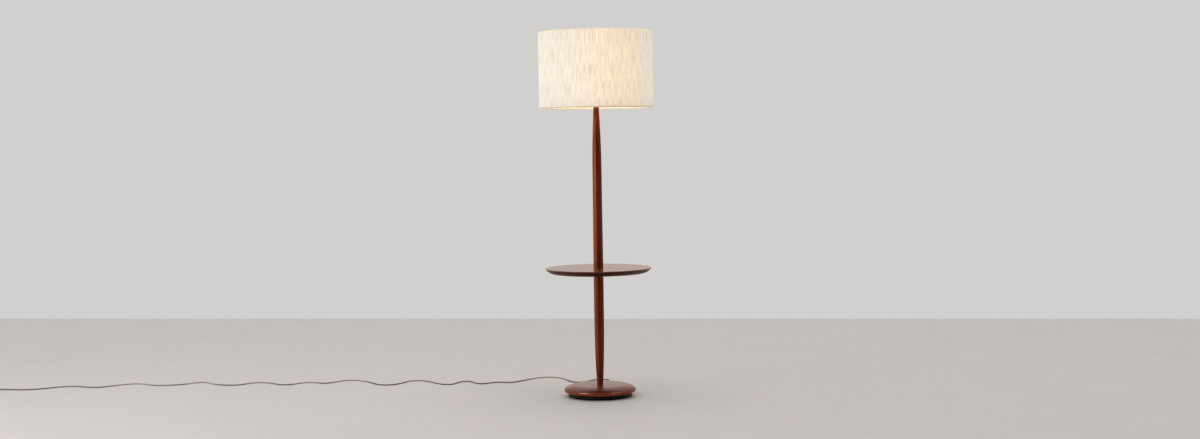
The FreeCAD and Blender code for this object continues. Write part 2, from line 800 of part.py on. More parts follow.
def strain_relief():
    inside_radius = min(groove_width, groove_height) / 2 - slip_gap
    bore = cord_radius + glue_gap
    collar_end = relief_collar_width
    shape = turned(outline(
        (bore, -relief_inside), (inside_radius, -relief_inside), (inside_radius, slip_gap),
        (relief_collar_radius, slip_gap), (relief_collar_radius, collar_end), (inside_radius, collar_end),
        (relief_tip_radius, relief_outside), (bore, relief_outside),
    ))
    save("strain_relief", facing(shape, at(0, 1, 0), at(0, plinth_radius, lead_height)))


def cord_radii(points):
    # Each corner's arc is as large as its two runs allow.
    radii = []
    for before, corner, after in zip(points, points[1:], points[2:]):
        first = corner - before
        second = after - corner
        half_turn = first.getAngle(second) / 2
        radii.append(0.45 * min(first.Length, second.Length) / math.tan(half_turn))
    return radii


def report_tube(name, shape, path, radius):
    expected = math.pi * radius ** 2 * path.Length
    print(name, "length", round(path.Length, 1), "volume ratio", round(shape.Volume / expected, 5))


def power_cord():
    points = [at(*place) for place in cord_route]
    radii = cord_radii(points)
    path = rounded_path(points, radii)
    shape = pipe(path, cord_radius)
    print("cord radii", [round(r) for r in radii], "least", round(min(radii), 1))
    report_tube("power_cord", shape, path, cord_radius)
    save("power_cord", shape)
    return path.Length


def biarc(start, start_way, end, end_way):
    # Two arcs, tangent where they meet, from one point and direction to another.
    chord = end - start
    ways = start_way + end_way
    reach = chord.dot(ways)
    spread = 4 - ways.dot(ways)
    handle = (math.sqrt(reach ** 2 + spread * chord.dot(chord)) - reach) / spread
    first_corner = start + start_way * handle
    second_corner = end - end_way * handle
    joint = (first_corner + second_corner) * 0.5
    return [corner_arc(start, first_corner, joint), corner_arc(joint, second_corner, end)]


def corner_arc(start, corner, end):
    middle = (start + end) * 0.5
    handle = (corner - start).Length
    cosine = (end - start).Length / 2 / handle
    radius = handle * cosine / math.sqrt(1 - cosine ** 2)
    inward = (middle - corner).normalize()
    return Part.Arc(start, corner + inward * (radius / cosine - radius), end).toShape()


def coil_point(turn, centre):
    # The coil winds inwards on the floor, climbs one layer in its innermost half turn and winds out again.
    middle = coil_turns / 2
    angle = math.pi / 2 + 2 * math.pi * turn
    radius = coil_inner_radius + coil_pitch * abs(turn - middle)
    climb = min(max((turn - middle) / 0.5 + 0.5, 0.0), 1.0)
    height = coil_height + coil_pitch * (1 - math.cos(math.pi * climb)) / 2
    return centre + at(radius * math.cos(angle), radius * math.sin(angle), height)


def coil_way(turn, centre):
    # The direction along the coil, level and square to the radius at its ends and at its innermost point.
    step = 0.001
    way = (coil_point(turn + step, centre) - coil_point(turn - step, centre)).normalize()
    if turn in (0, coil_turns):
        return at(-1, 0, 0)
    return way


def least_gap(path, diameter):
    points = path.discretize(Distance=1.5)
    step = path.Length / (len(points) - 1)
    skip = int(4 * diameter / step)
    least = min((a - b).Length for i, a in enumerate(points) for b in points[i + skip:])
    return least - diameter


def coil_centre():
    end = cord_route[-1]
    outer = coil_inner_radius + coil_pitch * coil_turns / 2
    return at(end[0] - 2 * cord_radius, end[1] - outer, 0)


def cord_coil():
    centre = coil_centre()
    quarters = [i / 4 for i in range(4 * coil_turns + 1)]
    edges = [Part.LineSegment(at(*cord_route[-1]), coil_point(0, centre)).toShape()]
    for turn, after in zip(quarters, quarters[1:]):
        edges += biarc(coil_point(turn, centre), coil_way(turn, centre),
                       coil_point(after, centre), coil_way(after, centre))
    last = coil_point(coil_turns, centre)
    edges.append(Part.LineSegment(last, last - at(plug_lead, 0, 0)).toShape())
    path = Part.Wire(edges)
    shape = pipe(path, cord_radius)
    report_tube("cord_coil", shape, path, cord_radius)
    print("cord_coil least gap to itself", round(least_gap(path, 2 * cord_radius), 2))
    save("cord_coil", shape)
    return path.Length


def cord_ties():
    centre = coil_centre()
    inner = coil_inner_radius - cord_radius - tie_slack
    outer = coil_inner_radius + coil_pitch * coil_turns / 2 + cord_radius + tie_slack
    low = coil_height - cord_radius - glue_gap
    high = coil_height + coil_pitch + cord_radius + tie_slack
    half = tie_width / 2
    wall = tie_thickness
    band = box((inner - wall, -half, low - wall), (outer + wall, half, high + wall))
    band = band.makeFillet(wall * 0.9, [e for e in band.Edges if abs(e.tangentAt(e.FirstParameter).y) > 0.99])
    band = band.cut(box((inner, -half, low), (outer, half, high)))
    ties = Part.makeCompound([band, mirrored(band)])
    ties.translate(centre)
    save("cord_ties", ties)


def plug_end():
    return coil_point(coil_turns, coil_centre()) - at(plug_lead, 0, 0)


def plug_body():
    neck = Part.makeCone(cord_radius + 0.9, plug_neck_radius, plug_neck_length)
    half_width = plug_width / 2
    half_thick = plug_thickness / 2
    top = plug_neck_length + plug_length
    body = box((-half_thick, -half_width, plug_neck_length), (half_thick, half_width, top))
    body = body.makeFillet(plug_edge_round, upright_edges(body))
    shape = body.fuse(neck)
    for blade in blades(thread_gap):
        shape = shape.cut(blade)
    save("plug_body", facing_plug(shape))


def blades(gap):
    top = plug_neck_length + plug_length
    shapes = []
    for side, width in ((1, blade_width), (-1, wide_blade_width)):
        middle = side * blade_spacing / 2
        low = (-width / 2 - gap, middle - blade_thickness / 2 - gap, top - blade_root - gap)
        high = (width / 2 + gap, middle + blade_thickness / 2 + gap, top + blade_reach)
        shapes.append(box(low, high))
    return shapes


def facing_plug(shape):
    # Lays the plug down with its blades pointing to the left and its thin side up.
    laid = shape.copy()
    laid.rotate(origin, at(0, 1, 0), -90)
    laid.translate(plug_end())
    return laid


def plug_blades():
    save("plug_blades", facing_plug(Part.makeCompound(blades(0.0))))


def main():
    os.makedirs("parts", exist_ok=True)
    felt_pad()
    base_weight()
    weight_screws()
    base_top()
    base_hardware()
    rods()
    lower_pole()
    table()
    upper_pole()
    pole_cap()
    harp_saddle()
    harp()
    harp_sleeves()
    harp_seat()
    socket_cap()
    liner_inner_radius = socket_shells()
    socket_insulator(liner_inner_radius - slip_gap)
    terminal_screws()
    screw_shell()
    switch()
    bulb()
    shade_drum()
    shade_frame()
    finial()
    inner_lead()
    socket_wires()
    strain_relief()
    length = power_cord() + cord_coil()
    print("free cord length", round(length))
    cord_ties()
    plug_body()
    plug_blades()


main()
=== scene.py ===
import bmesh
import bpy
import math
from mathutils import Matrix, Vector


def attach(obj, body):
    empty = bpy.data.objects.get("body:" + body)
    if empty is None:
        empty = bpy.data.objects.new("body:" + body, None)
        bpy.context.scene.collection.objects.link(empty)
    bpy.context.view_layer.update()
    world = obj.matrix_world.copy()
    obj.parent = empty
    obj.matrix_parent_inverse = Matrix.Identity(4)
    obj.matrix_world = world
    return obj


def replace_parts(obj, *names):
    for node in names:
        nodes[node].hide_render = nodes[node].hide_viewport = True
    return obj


# Floor lamp with a round table: the looks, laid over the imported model.
# Sizes in the settings of a piece are millimetres, those in a finish metres.
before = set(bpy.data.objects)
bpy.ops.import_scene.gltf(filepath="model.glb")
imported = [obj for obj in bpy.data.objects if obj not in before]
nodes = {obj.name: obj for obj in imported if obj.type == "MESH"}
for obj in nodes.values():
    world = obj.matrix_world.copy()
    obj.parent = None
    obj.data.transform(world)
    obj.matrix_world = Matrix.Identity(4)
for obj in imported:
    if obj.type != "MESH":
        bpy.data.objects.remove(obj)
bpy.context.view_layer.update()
mm = 0.001
unlit = (0, 0, 0, 1)
heights = {
    "footUnder": 19.0, "footTop": 51.0,
    "tableUnder": 524.5, "tableTop": 546.5, "tableRecess": 3.0,
    "poleTop": 1240.0,
    "shadeLow": 1221.5, "shadeHigh": 1542.5,
}
print("frame loaded:", len(nodes), "nodes")


# small helpers for working on a piece

def deselectAll():
    for thing in list(bpy.context.selected_objects):
        thing.select_set(False)


def onlySelect(piece):
    deselectAll()
    piece.select_set(True)
    bpy.context.view_layer.objects.active = piece


def named(name):
    # the primitive that was just added
    piece = bpy.context.active_object
    piece.name = name
    piece.data.name = name
    return piece


def openPiece(piece):
    # into edit mode, with all of it selected
    onlySelect(piece)
    bpy.ops.object.mode_set(mode="EDIT")
    bpy.ops.mesh.select_all(action="SELECT")


def closePiece():
    bpy.ops.object.mode_set(mode="OBJECT")


def pick(piece, kind, test):
    # in edit mode: selects the faces, edges or vertices that pass the test, and only those
    bpy.ops.mesh.select_mode(type=kind)
    bpy.ops.mesh.select_all(action="DESELECT")
    mesh = bmesh.from_edit_mesh(piece.data)
    parts = {"FACE": mesh.faces, "EDGE": mesh.edges, "VERT": mesh.verts}[kind]
    for part in parts:
        if test(part):
            part.select_set(True)
    mesh.select_flush_mode()
    bmesh.update_edit_mesh(piece.data)


def middle(part):
    return sum((v.co for v in part.verts), Vector()) / len(part.verts)


def rise(edge):
    # how steep an edge is, 1 when upright
    way = edge.verts[1].co - edge.verts[0].co
    return abs(way.z) / max(way.length, 1e-9)


def settle(piece):
    # place, turn and size go into the mesh
    onlySelect(piece)
    bpy.ops.object.transform_apply(location=True, rotation=True, scale=True)


def moved(piece, place=(0, 0, 0), turn=(0, 0, 0)):
    # place in millimetres, turn in degrees
    piece.rotation_euler = [math.radians(a) for a in turn]
    piece.location = [p * mm for p in place]
    settle(piece)
    return piece


def outward(piece):
    openPiece(piece)
    bpy.ops.mesh.remove_doubles(threshold=1e-6)
    bpy.ops.mesh.normals_make_consistent(inside=False)
    closePiece()


def applied(piece, kind, **settings):
    modifier = piece.modifiers.new(kind.title(), kind)
    for key, value in settings.items():
        setattr(modifier, key, value)
    onlySelect(piece)
    bpy.ops.object.modifier_apply(modifier=modifier.name)
    return piece


def softened(piece, width, segments=2, angle=30):
    # rounds what turns by more than the angle
    return applied(piece, "BEVEL", width=width * mm, segments=segments, limit_method="ANGLE",
                   angle_limit=math.radians(angle))


def rounded(piece, test, width, segments):
    # in edit mode: rounds the edges that pass the test
    pick(piece, "EDGE", test)
    bpy.ops.mesh.bevel(offset=width * mm, segments=segments, profile=0.5, affect="EDGES")


def smoothed(piece, angle=30):
    onlySelect(piece)
    bpy.ops.object.shade_smooth_by_angle(angle=math.radians(angle))
    return piece


def evenFaces(piece, angle=30):
    # broad faces stay flat and the narrow roundings between them carry the turn
    smoothed(piece, angle)
    return applied(piece, "WEIGHTED_NORMAL", keep_sharp=True, weight=80)


def ringUp(rings, last):
    # in edit mode: carries the selected ring of edges, or disc, through the given rings of (radius, height)
    for radius, height in rings:
        bpy.ops.mesh.extrude_region_move(TRANSFORM_OT_translate={"value": (0, 0, (height - last[1]) * mm)})
        size = radius / last[0]
        bpy.ops.transform.resize(value=(size, size, 1), center_override=(0, 0, height * mm))
        last = (radius, height)


def turned(name, rings, path, sides, fill, turn):
    # the first ring, filled or bare, goes along the path, extruded and sized ring by ring
    deselectAll()
    radius, height = rings[0]
    bpy.ops.mesh.primitive_circle_add(vertices=sides, radius=radius * mm, fill_type=fill,
                                      location=(0, 0, height * mm), rotation=(0, 0, math.radians(turn)))
    piece = named(name)
    settle(piece)
    openPiece(piece)
    ringUp(path, rings[0])
    closePiece()
    outward(piece)
    return piece


def turnedSolid(name, rings, sides, turn=0.0):
    return turned(name, rings, rings[1:], sides, "NGON", turn)


def turnedRing(name, rings, sides):
    # hollow: a bare circle goes once round its section and closes on itself
    return turned(name, rings, rings[1:] + rings[:1], sides, "NOTHING", 0.0)


def cutOut(piece, cutter):
    settle(cutter)
    applied(piece, "BOOLEAN", operation="DIFFERENCE", object=cutter, solver="EXACT")
    bpy.data.objects.remove(cutter)


def drilled(piece, radius, depth, place, turn=(0, 0, 0), sides=96):
    # cuts a round or many-sided hole about a place, depth deep in all
    deselectAll()
    bpy.ops.mesh.primitive_cylinder_add(vertices=sides, radius=radius * mm, depth=depth * mm,
                                        location=[p * mm for p in place],
                                        rotation=[math.radians(a) for a in turn])
    cutOut(piece, named("cutter"))
    return piece


def bored(piece, cuts):
    # holes and recesses on the axis: (radius, low, high)
    for radius, low, high in cuts:
        drilled(piece, radius, high - low, (0, 0, (low + high) / 2))
    return piece


def sized(name, size):
    # the flat or solid that was just added, one unit wide, takes its name and its size
    piece = named(name)
    piece.scale = [s * mm for s in size]
    settle(piece)
    return piece


def block(name, size, place=(0, 0, 0)):
    deselectAll()
    bpy.ops.mesh.primitive_cube_add(size=1, location=[p * mm for p in place])
    return sized(name, size)


def ribbon(name, width, length, columns, rows):
    # a flat grid, to be bent or thickened
    deselectAll()
    bpy.ops.mesh.primitive_grid_add(x_subdivisions=columns, y_subdivisions=rows, size=1)
    return sized(name, (width, length, 1))


def arc(centre, radius, start, end, steps):
    # points round a centre, from one angle in degrees to another, without the first
    angles = [math.radians(start + (end - start) * i / steps) for i in range(1, steps + 1)]
    return [(centre[0] + radius * math.cos(a), centre[1] + radius * math.sin(a)) for a in angles]


def curved(spots, steps):
    # points along the curve from the first spot to the last, drawn by those between, without the first
    points = []
    for step in range(1, steps + 1):
        row, share = spots, step / steps
        while len(row) > 1:
            row = [tuple((1 - share) * p + share * q for p, q in zip(*pair)) for pair in zip(row, row[1:])]
        points.append(row[0])
    return points


def ribs(look, first, last, low):
    # rings for a row of ribs on a taper, from one radius to another
    rings = []
    up, over, end = look["ribShape"]
    for i in range(look["ribs"]):
        radius = first + (last - first) * i / (look["ribs"] - 1)
        inner = radius - look["groove"]
        rings += [(inner, low), (radius, low + up), (radius, low + over), (inner, low + end)]
        low += look["ribPitch"]
    return rings


def wrapMap(piece, girthRadius=0.24):
    # a map in metres round the upright axis and up, with its join at the back
    mesh = piece.data
    layer = mesh.uv_layers.get("wrap") or mesh.uv_layers.new(name="wrap")
    mesh.uv_layers.active = layer
    layer.active_render = True
    for face in mesh.polygons:
        centre = math.atan2(face.center.x, -face.center.y)
        for loop in face.loop_indices:
            spot = mesh.vertices[mesh.loops[loop].vertex_index].co
            angle = math.atan2(spot.x, -spot.y)
            angle += 2 * math.pi * round((centre - angle) / (2 * math.pi))
            layer.data[loop].uv = (angle * girthRadius, spot.z + Vector((spot.x, spot.y)).length)
    return piece


# finishes

def paint(red, green, blue):
    # a colour as the eye names it, 0 to 255, in the light that shaders count in
    def light(value):
        value /= 255
        return value / 12.92 if value <= 0.04045 else ((value + 0.055) / 1.055) ** 2.4
    return (light(red), light(green), light(blue), 1.0)


class Wire:
    # one shader socket; sums and products of wires write their own Math nodes
    def __init__(self, bench, socket):
        self.bench = bench
        self.socket = socket

    def maths(self, operation, first, second):
        return self.bench.add("Math", {0: first, 1: second}, {"operation": operation})

    def __add__(self, other):
        return self.maths("ADD", self, other)

    def __sub__(self, other):
        return self.maths("SUBTRACT", self, other)

    def __rsub__(self, other):
        return self.maths("SUBTRACT", other, self)

    def __mul__(self, other):
        return self.maths("MULTIPLY", self, other)

    __radd__ = __add__
    __rmul__ = __mul__


class Bench:
    # where the nodes of one material, or of the air, are laid out
    def __init__(self, owner):
        owner.use_nodes = True
        self.material = owner
        self.tree = owner.node_tree
        self.tree.nodes.clear()

    def add(self, kind, sockets=None, settings=None, out=0):
        node = self.tree.nodes.new("ShaderNode" + kind)
        for key, value in (settings or {}).items():
            if key == "stops":
                self.setStops(node, value)
            else:
                setattr(node, key, value)
        for key, value in (sockets or {}).items():
            if isinstance(value, Wire):
                self.tree.links.new(value.socket, node.inputs[key])
            else:
                node.inputs[key].default_value = value
        return Wire(self, node.outputs[out])

    def setStops(self, node, stops):
        elements = node.color_ramp.elements
        while len(elements) < len(stops):
            elements.new(0.5)
        for element, (place, colour) in zip(elements, stops):
            element.position = place
            element.color = colour

    def place(self, source="Object", scale=(1, 1, 1), shift=(0, 0, 0)):
        spot = self.add("TexCoord", out=source)
        return self.add("Mapping", {"Vector": spot, "Scale": scale, "Location": shift})

    def noise(self, scale, detail=3.0, rough=0.5, bend=0.0, spot=None):
        return self.add("TexNoise", {"Vector": spot or self.place(), "Scale": scale, "Detail": detail,
                                     "Roughness": rough, "Distortion": bend})

    def wave(self, spot, pitch, settings, bend, detail=1.0, detailScale=0.4, detailRough=0.5):
        # stripes or rings, one to a pitch in metres
        sockets = {"Vector": spot, "Scale": 0.314 / pitch, "Distortion": bend, "Detail": detail,
                   "Detail Scale": detailScale, "Detail Roughness": detailRough}
        return self.add("TexWave", sockets, settings, out="Fac")

    def between(self, value, low, high, start=0.0, end=1.0):
        # eases a value from start to end as it passes from low to high
        return self.add("MapRange", {"Value": value, "From Min": low, "From Max": high,
                                     "To Min": start, "To Max": end}, {"interpolation_type": "SMOOTHSTEP"})

    def blend(self, factor, first, second):
        return self.add("Mix", {0: factor, 6: first, 7: second}, {"data_type": "RGBA"}, out=2)

    def parts(self, spot):
        # the three parts of a place or a direction
        first = self.add("SeparateXYZ", {"Vector": spot})
        return [Wire(self, output) for output in first.socket.node.outputs]

    def bump(self, height, distance, strength):
        return self.add("Bump", {"Height": height, "Distance": distance, "Strength": strength})

    def finish(self, sockets):
        # the surface itself; hands back the finished material
        self.output(self.add("BsdfPrincipled", sockets), "OutputMaterial")
        return self.material

    def output(self, surface, kind):
        end = self.tree.nodes.new("ShaderNode" + kind)
        self.tree.links.new(surface.socket, end.inputs["Surface"])


def newFinish(name):
    return Bench(bpy.data.materials.new(name))


# In these settings a noise is its scale, detail, roughness and bend, in that order;
# a ramp is where it starts and where it ends.

darkWood = paint(52, 14, 7)
woodLook = {
    "low": (0.22, darkWood), "middle": (0.52, paint(92, 32, 13)), "high": (0.86, paint(126, 54, 22)),
    "grainStretch": 0.055, "poreStretch": 1 / 26,
    "ringPitch": 0.0042, "ringBend": (7.0, 3.0, 0.35, 0.55),
    "tone": (16, 3, 0.55, 0.6), "warp": (9, 2, 0.5), "streak": (260, 4, 0.6), "pores": (1500, 2, 0.5),
    "poreRamp": (0.60, 0.70),
    "roughness": 0.38, "metallic": 0.25, "shine": 0.22, "shineTint": (1.0, 0.5, 0.25, 1),
    "coatRoughness": 0.14, "reliefDepth": 0.00012,
}


def stainedWood(name, along, pith, coat, rim=None):
    # an open-grained red-brown hardwood under a satin coat; the grain runs along x or z
    # rim: a colour painted low on a disc's edge, a painted highlight on the foot and painted shade on the
    # table, and the heights over which it fades out, and the edge's share of the coat with the heights over
    # which the coat grows full
    look = woodLook
    bench = newFinish(name)

    def stretched(share):
        return {"x": (share, 1, 1), "z": (1, 1, share)}[along]

    spot = bench.place(scale=stretched(look["grainStretch"]), shift=pith)
    tone = bench.noise(*look["tone"], spot=spot)
    warp = bench.noise(*look["warp"], spot=spot)
    rings = bench.wave(spot, look["ringPitch"], {"wave_type": "RINGS", "rings_direction": along.upper()},
                       *look["ringBend"])
    streak = bench.noise(*look["streak"], spot=bench.place(scale=stretched(look["grainStretch"])))
    figure = rings * 0.20 + tone * 0.72 + streak * 0.36 - warp * 0.14
    pores = bench.noise(*look["pores"], spot=bench.place(scale=stretched(look["poreStretch"])))
    pores = bench.between(pores, *look["poreRamp"])
    colour = bench.add("ValToRGB", {"Fac": figure}, {"stops": [look["low"], look["middle"], look["high"]]})
    colour = bench.blend(pores * 0.55, colour, darkWood)
    if rim:
        height = bench.parts(bench.place())[2]
        # the rim colour is painted light: a painted highlight on the foot's lip, painted shade on the
        # table's undercut edge
        colour = bench.blend(bench.between(height, *rim["heights"]), rim["colour"], colour)
        coat = bench.between(height, *rim["coatHeights"], coat * rim["coatShare"], coat)
    relief = streak * 0.4 - pores
    # a little metallic, for the fibres throw light back in the wood's own colour
    return bench.finish({"Base Color": colour, "Metallic": look["metallic"],
                         "Roughness": pores * 0.22 + streak * 0.08 + look["roughness"],
                         "Coat Weight": coat, "Coat Roughness": look["coatRoughness"],
                         "Specular IOR Level": look["shine"], "Specular Tint": look["shineTint"],
                         "Normal": bench.bump(relief, look["reliefDepth"], 0.5)})


ironLook = {
    "colours": (paint(7, 6, 6), paint(18, 15, 14)),
    "grit": (900, 3, 0.6), "gritDepth": 0.00025, "cloud": (30, 3),
    "roughness": 0.42, "shine": 0.18,
}


def castIron():
    look = ironLook
    bench = newFinish("black_iron")
    grit = bench.noise(*look["grit"])
    cloud = bench.noise(*look["cloud"])
    return bench.finish({"Base Color": bench.blend(cloud, *look["colours"]),
                         "Roughness": look["roughness"] + grit * 0.2, "Specular IOR Level": look["shine"],
                         "Normal": bench.bump(grit, look["gritDepth"], 0.5)})


feltLook = {
    "colours": (paint(22, 22, 24), paint(58, 56, 56)),
    "fibre": (1400, 5, 0.7, 1.5), "fibreDepth": 0.0004, "cloud": (60, 3),
    "roughness": 0.95, "sheen": 0.3,
}


def feltCloth():
    look = feltLook
    bench = newFinish("felt")
    fibre = bench.noise(*look["fibre"])
    cloud = bench.noise(*look["cloud"])
    return bench.finish({"Base Color": bench.blend(fibre * 0.6 + cloud * 0.4, *look["colours"]),
                         "Roughness": look["roughness"], "Sheen Weight": look["sheen"],
                         "Normal": bench.bump(fibre, look["fibreDepth"], 0.8)})


metalLook = {"marks": (420, 4, 0.6), "markStretch": (1, 1, 12), "markDepth": 0.00006, "cloud": (45, 3)}


def metalSkin(name, low, high, rough):
    # drawn or plated metal: faint marks along one way and a slightly uneven shine
    look = metalLook
    bench = newFinish(name)
    marks = bench.noise(*look["marks"], spot=bench.place(scale=look["markStretch"]))
    cloud = bench.noise(*look["cloud"])
    return bench.finish({"Base Color": bench.blend(cloud, low, high), "Metallic": 1.0,
                         "Roughness": rough + marks * 0.12 + cloud * 0.08,
                         "Normal": bench.bump(marks, look["markDepth"], 0.5)})


mouldedLook = {"grain": 1100, "grainDepth": 0.00008, "detail": (3, 0.6), "cloud": (38, 3)}


def mouldedSkin(name, low, high, rough, grain=mouldedLook["grain"], depth=mouldedLook["grainDepth"]):
    # moulded plastic, painted wire or card: a fine grain and slight clouding
    look = mouldedLook
    bench = newFinish(name)
    fine = bench.noise(grain, *look["detail"])
    cloud = bench.noise(*look["cloud"])
    return bench.finish({"Base Color": bench.blend(cloud * 0.7 + fine * 0.3, low, high),
                         "Roughness": rough + fine * 0.14, "Normal": bench.bump(fine, depth, 0.6)})


jacketLook = {
    "near": paint(92, 74, 62), "far": paint(182, 170, 160),
    "nearPlace": 0.43, "farPlace": 0.53,
    "grain": (1500, 3, 0.6), "grainDepth": 0.00008, "patches": (9, 2), "patchReach": 0.12,
    "roughness": 0.42,
}


def jacketSkin():
    # the cord's jacket: painted pale where its waves turn at the back and painted brown where they turn at
    # the front, as light and shade along the waves
    look = jacketLook
    bench = newFinish("cord")
    fine = bench.noise(*look["grain"])
    patches = bench.noise(*look["patches"])
    back = bench.parts(bench.place())[1]
    # pale and brown stretches are painted light and shade, set by how far back the cord lies
    paintedShading = bench.between(back + (patches - 0.5) * look["patchReach"], look["nearPlace"], look["farPlace"])
    return bench.finish({"Base Color": bench.blend(paintedShading * 0.85 + fine * 0.15, look["near"], look["far"]),
                         "Roughness": look["roughness"] + fine * 0.14,
                         "Normal": bench.bump(fine, look["grainDepth"], 0.6)})


linenLook = {
    "pale": paint(230, 225, 219), "deep": paint(216, 210, 203), "knot": paint(198, 186, 170),
    "glow": (0.975, 0.752, 0.475, 1.0), "glowSides": (0.97, 0.84, 0.65, 1.0), "glowStrength": 0.70,
    # yarns: how often they change along the girth and up the drum, then detail and roughness
    "broad": (210, 14, 1, 0.5), "slub": (620, 30, 2, 0.6), "knots": (430, 34, 1, 0.5),
    "fine": (1400, 90, 2, 0.5),
    "thickRamp": (0.40, 0.62), "knotRamp": (0.60, 0.70),
    "warpPitch": 0.0009, "weftPitch": 0.001, "threadBend": 1.2, "threadDepth": 0.0003,
    "low": heights["shadeLow"] * mm, "high": heights["shadeHigh"] * mm, "lowFade": 0.06, "highFade": 0.11,
    "roughness": 0.9, "sheen": 0.15, "shine": 0.2,
}


def litCloth(bench, colour, light, strength, relief):
    look = linenLook
    return bench.finish({"Base Color": colour, "Roughness": look["roughness"],
                         "Sheen Weight": look["sheen"], "Specular IOR Level": look["shine"],
                         "Emission Color": light, "Emission Strength": strength,
                         "Normal": bench.bump(relief, look["threadDepth"], 0.6)})


def slubbedLinen():
    # upright slub yarns over a fine plain weave, with the lamp's light coming through
    look = linenLook
    bench = newFinish("linen")

    def yarns(kind):
        girth, upward, detail, rough = look[kind]
        return bench.noise(1.0, detail, rough, spot=bench.place("UV", scale=(girth, upward, 1)))

    def threads(direction, pitch):
        return bench.wave(bench.place("UV"), pitch, {"bands_direction": direction}, look["threadBend"])

    broad = yarns("broad")
    slub = yarns("slub")
    knots = bench.between(yarns("knots"), *look["knotRamp"])
    fine = yarns("fine")
    warp = threads("X", look["warpPitch"])
    weft = threads("Y", look["weftPitch"])
    thick = bench.between(broad * 0.48 + slub * 0.32 + fine * 0.20, *look["thickRamp"])
    colour = bench.blend(thick, look["pale"], look["deep"])
    colour = bench.blend(knots * 0.30, colour, look["knot"])
    across, _, height = bench.parts(bench.place())
    # the bulb shows most in the middle of the drum and least where daylight falls from the left
    rim = bench.between(height, look["low"], look["low"] + look["lowFade"], 0.78, 1.0)
    rim = rim * bench.between(height, look["high"] - look["highFade"], look["high"], 1.0, 0.92)
    side = bench.between(across, -0.24, 0.06, 0.66, 1.0) * bench.between(across, 0.12, 0.24, 1.0, 0.76)
    warm = bench.between(across, -0.20, 0.08) * bench.between(across, 0.14, 0.24, 1.0, 0.0)
    warmth = bench.blend(warm, look["glowSides"], look["glow"])
    through = (1.03 - thick * 0.34 - knots * 0.18 - warp * weft * 0.06) * rim * side
    relief = slub * 0.5 + fine * 0.3 + knots * 0.5 + warp * 0.25 + weft * 0.25
    return litCloth(bench, colour, bench.blend(through, unlit, warmth), look["glowStrength"], relief)


hemLook = {
    "colours": (paint(234, 228, 220), paint(216, 204, 188)),
    "glows": ((0.92, 0.74, 0.50, 1), (0.76, 0.60, 0.40, 1)), "glowStrength": 0.60,
    "ribPitch": 0.001208, "slub": (300, 40, 1), "low": 1.25, "high": 1.50,
}


def hemTape():
    # the folded tape: the same cloth, doubled, so that less light comes through
    look = hemLook
    bench = newFinish("hem_tape")
    rib = bench.wave(bench.place("UV"), look["ribPitch"], {"bands_direction": "X"}, 0.8, detailScale=1.0)
    slub = bench.noise(1.0, spot=bench.place("UV", scale=look["slub"]))
    across, _, height = bench.parts(bench.place())
    # the tape at the bottom rim covers the wire and the liner's edge, so that it shows darker
    through = bench.between(height, look["low"], look["high"], 0.30, 1.0)
    through = through * bench.between(across, -0.24, 0.06, 0.62, 1.0)
    colour = bench.blend(slub * 0.7 + rib * 0.3, *look["colours"])
    light = bench.blend(through, unlit, bench.blend(slub, *look["glows"]))
    return litCloth(bench, colour, light, look["glowStrength"], rib * 0.5 + slub)


linerLook = {
    "colours": (paint(246, 238, 218), paint(238, 226, 200)),
    "glows": ((1.0, 0.83, 0.42, 1), (1.0, 0.78, 0.36, 1)), "glowStrength": 0.30,
    "cloud": (22, 3), "fine": (900, 2), "fineDepth": 0.00005, "roughness": 0.45,
}


def pearlLiner():
    # stiff translucent film behind the linen: bright inside from the bulb
    look = linerLook
    bench = newFinish("liner")
    cloud = bench.noise(*look["cloud"])
    fine = bench.noise(*look["fine"])
    return bench.finish({"Base Color": bench.blend(cloud, *look["colours"]),
                         "Roughness": look["roughness"] + fine * 0.1,
                         "Emission Color": bench.blend(cloud, *look["glows"]),
                         "Emission Strength": look["glowStrength"],
                         "Normal": bench.bump(fine, look["fineDepth"], 0.4)})


glassLook = {
    "colour": paint(244, 240, 232), "neckGlow": (0.25, 0.13, 0.05, 1), "glow": (1.0, 0.76, 0.46, 1),
    "glowStrength": 26.0, "frost": (700, 3), "roughness": 0.35, "neckLow": 1.326, "neckHigh": 1.356,
}


def litGlass():
    # frosted bulb, alight, a little dimmer at its neck
    look = glassLook
    bench = newFinish("bulb_glass")
    height = bench.parts(bench.place())[2]
    frost = bench.noise(*look["frost"])
    neck = bench.between(height, look["neckLow"], look["neckHigh"], 0.25, 1.0)
    glow = bench.blend(neck * (0.94 + frost * 0.1), look["neckGlow"], look["glow"])
    return bench.finish({"Base Color": look["colour"], "Roughness": look["roughness"] + frost * 0.2,
                         "Emission Color": glow, "Emission Strength": look["glowStrength"]})


print("finishes")
discPith = (0, 0.11, 0.030)
# a lighter band painted low on the foot's lip as a highlight
footRimPaintedHighlight = {"colour": paint(150, 60, 28), "heights": (0.024, 0.030),
           "coatShare": 0.55, "coatHeights": (0.033, 0.049)}
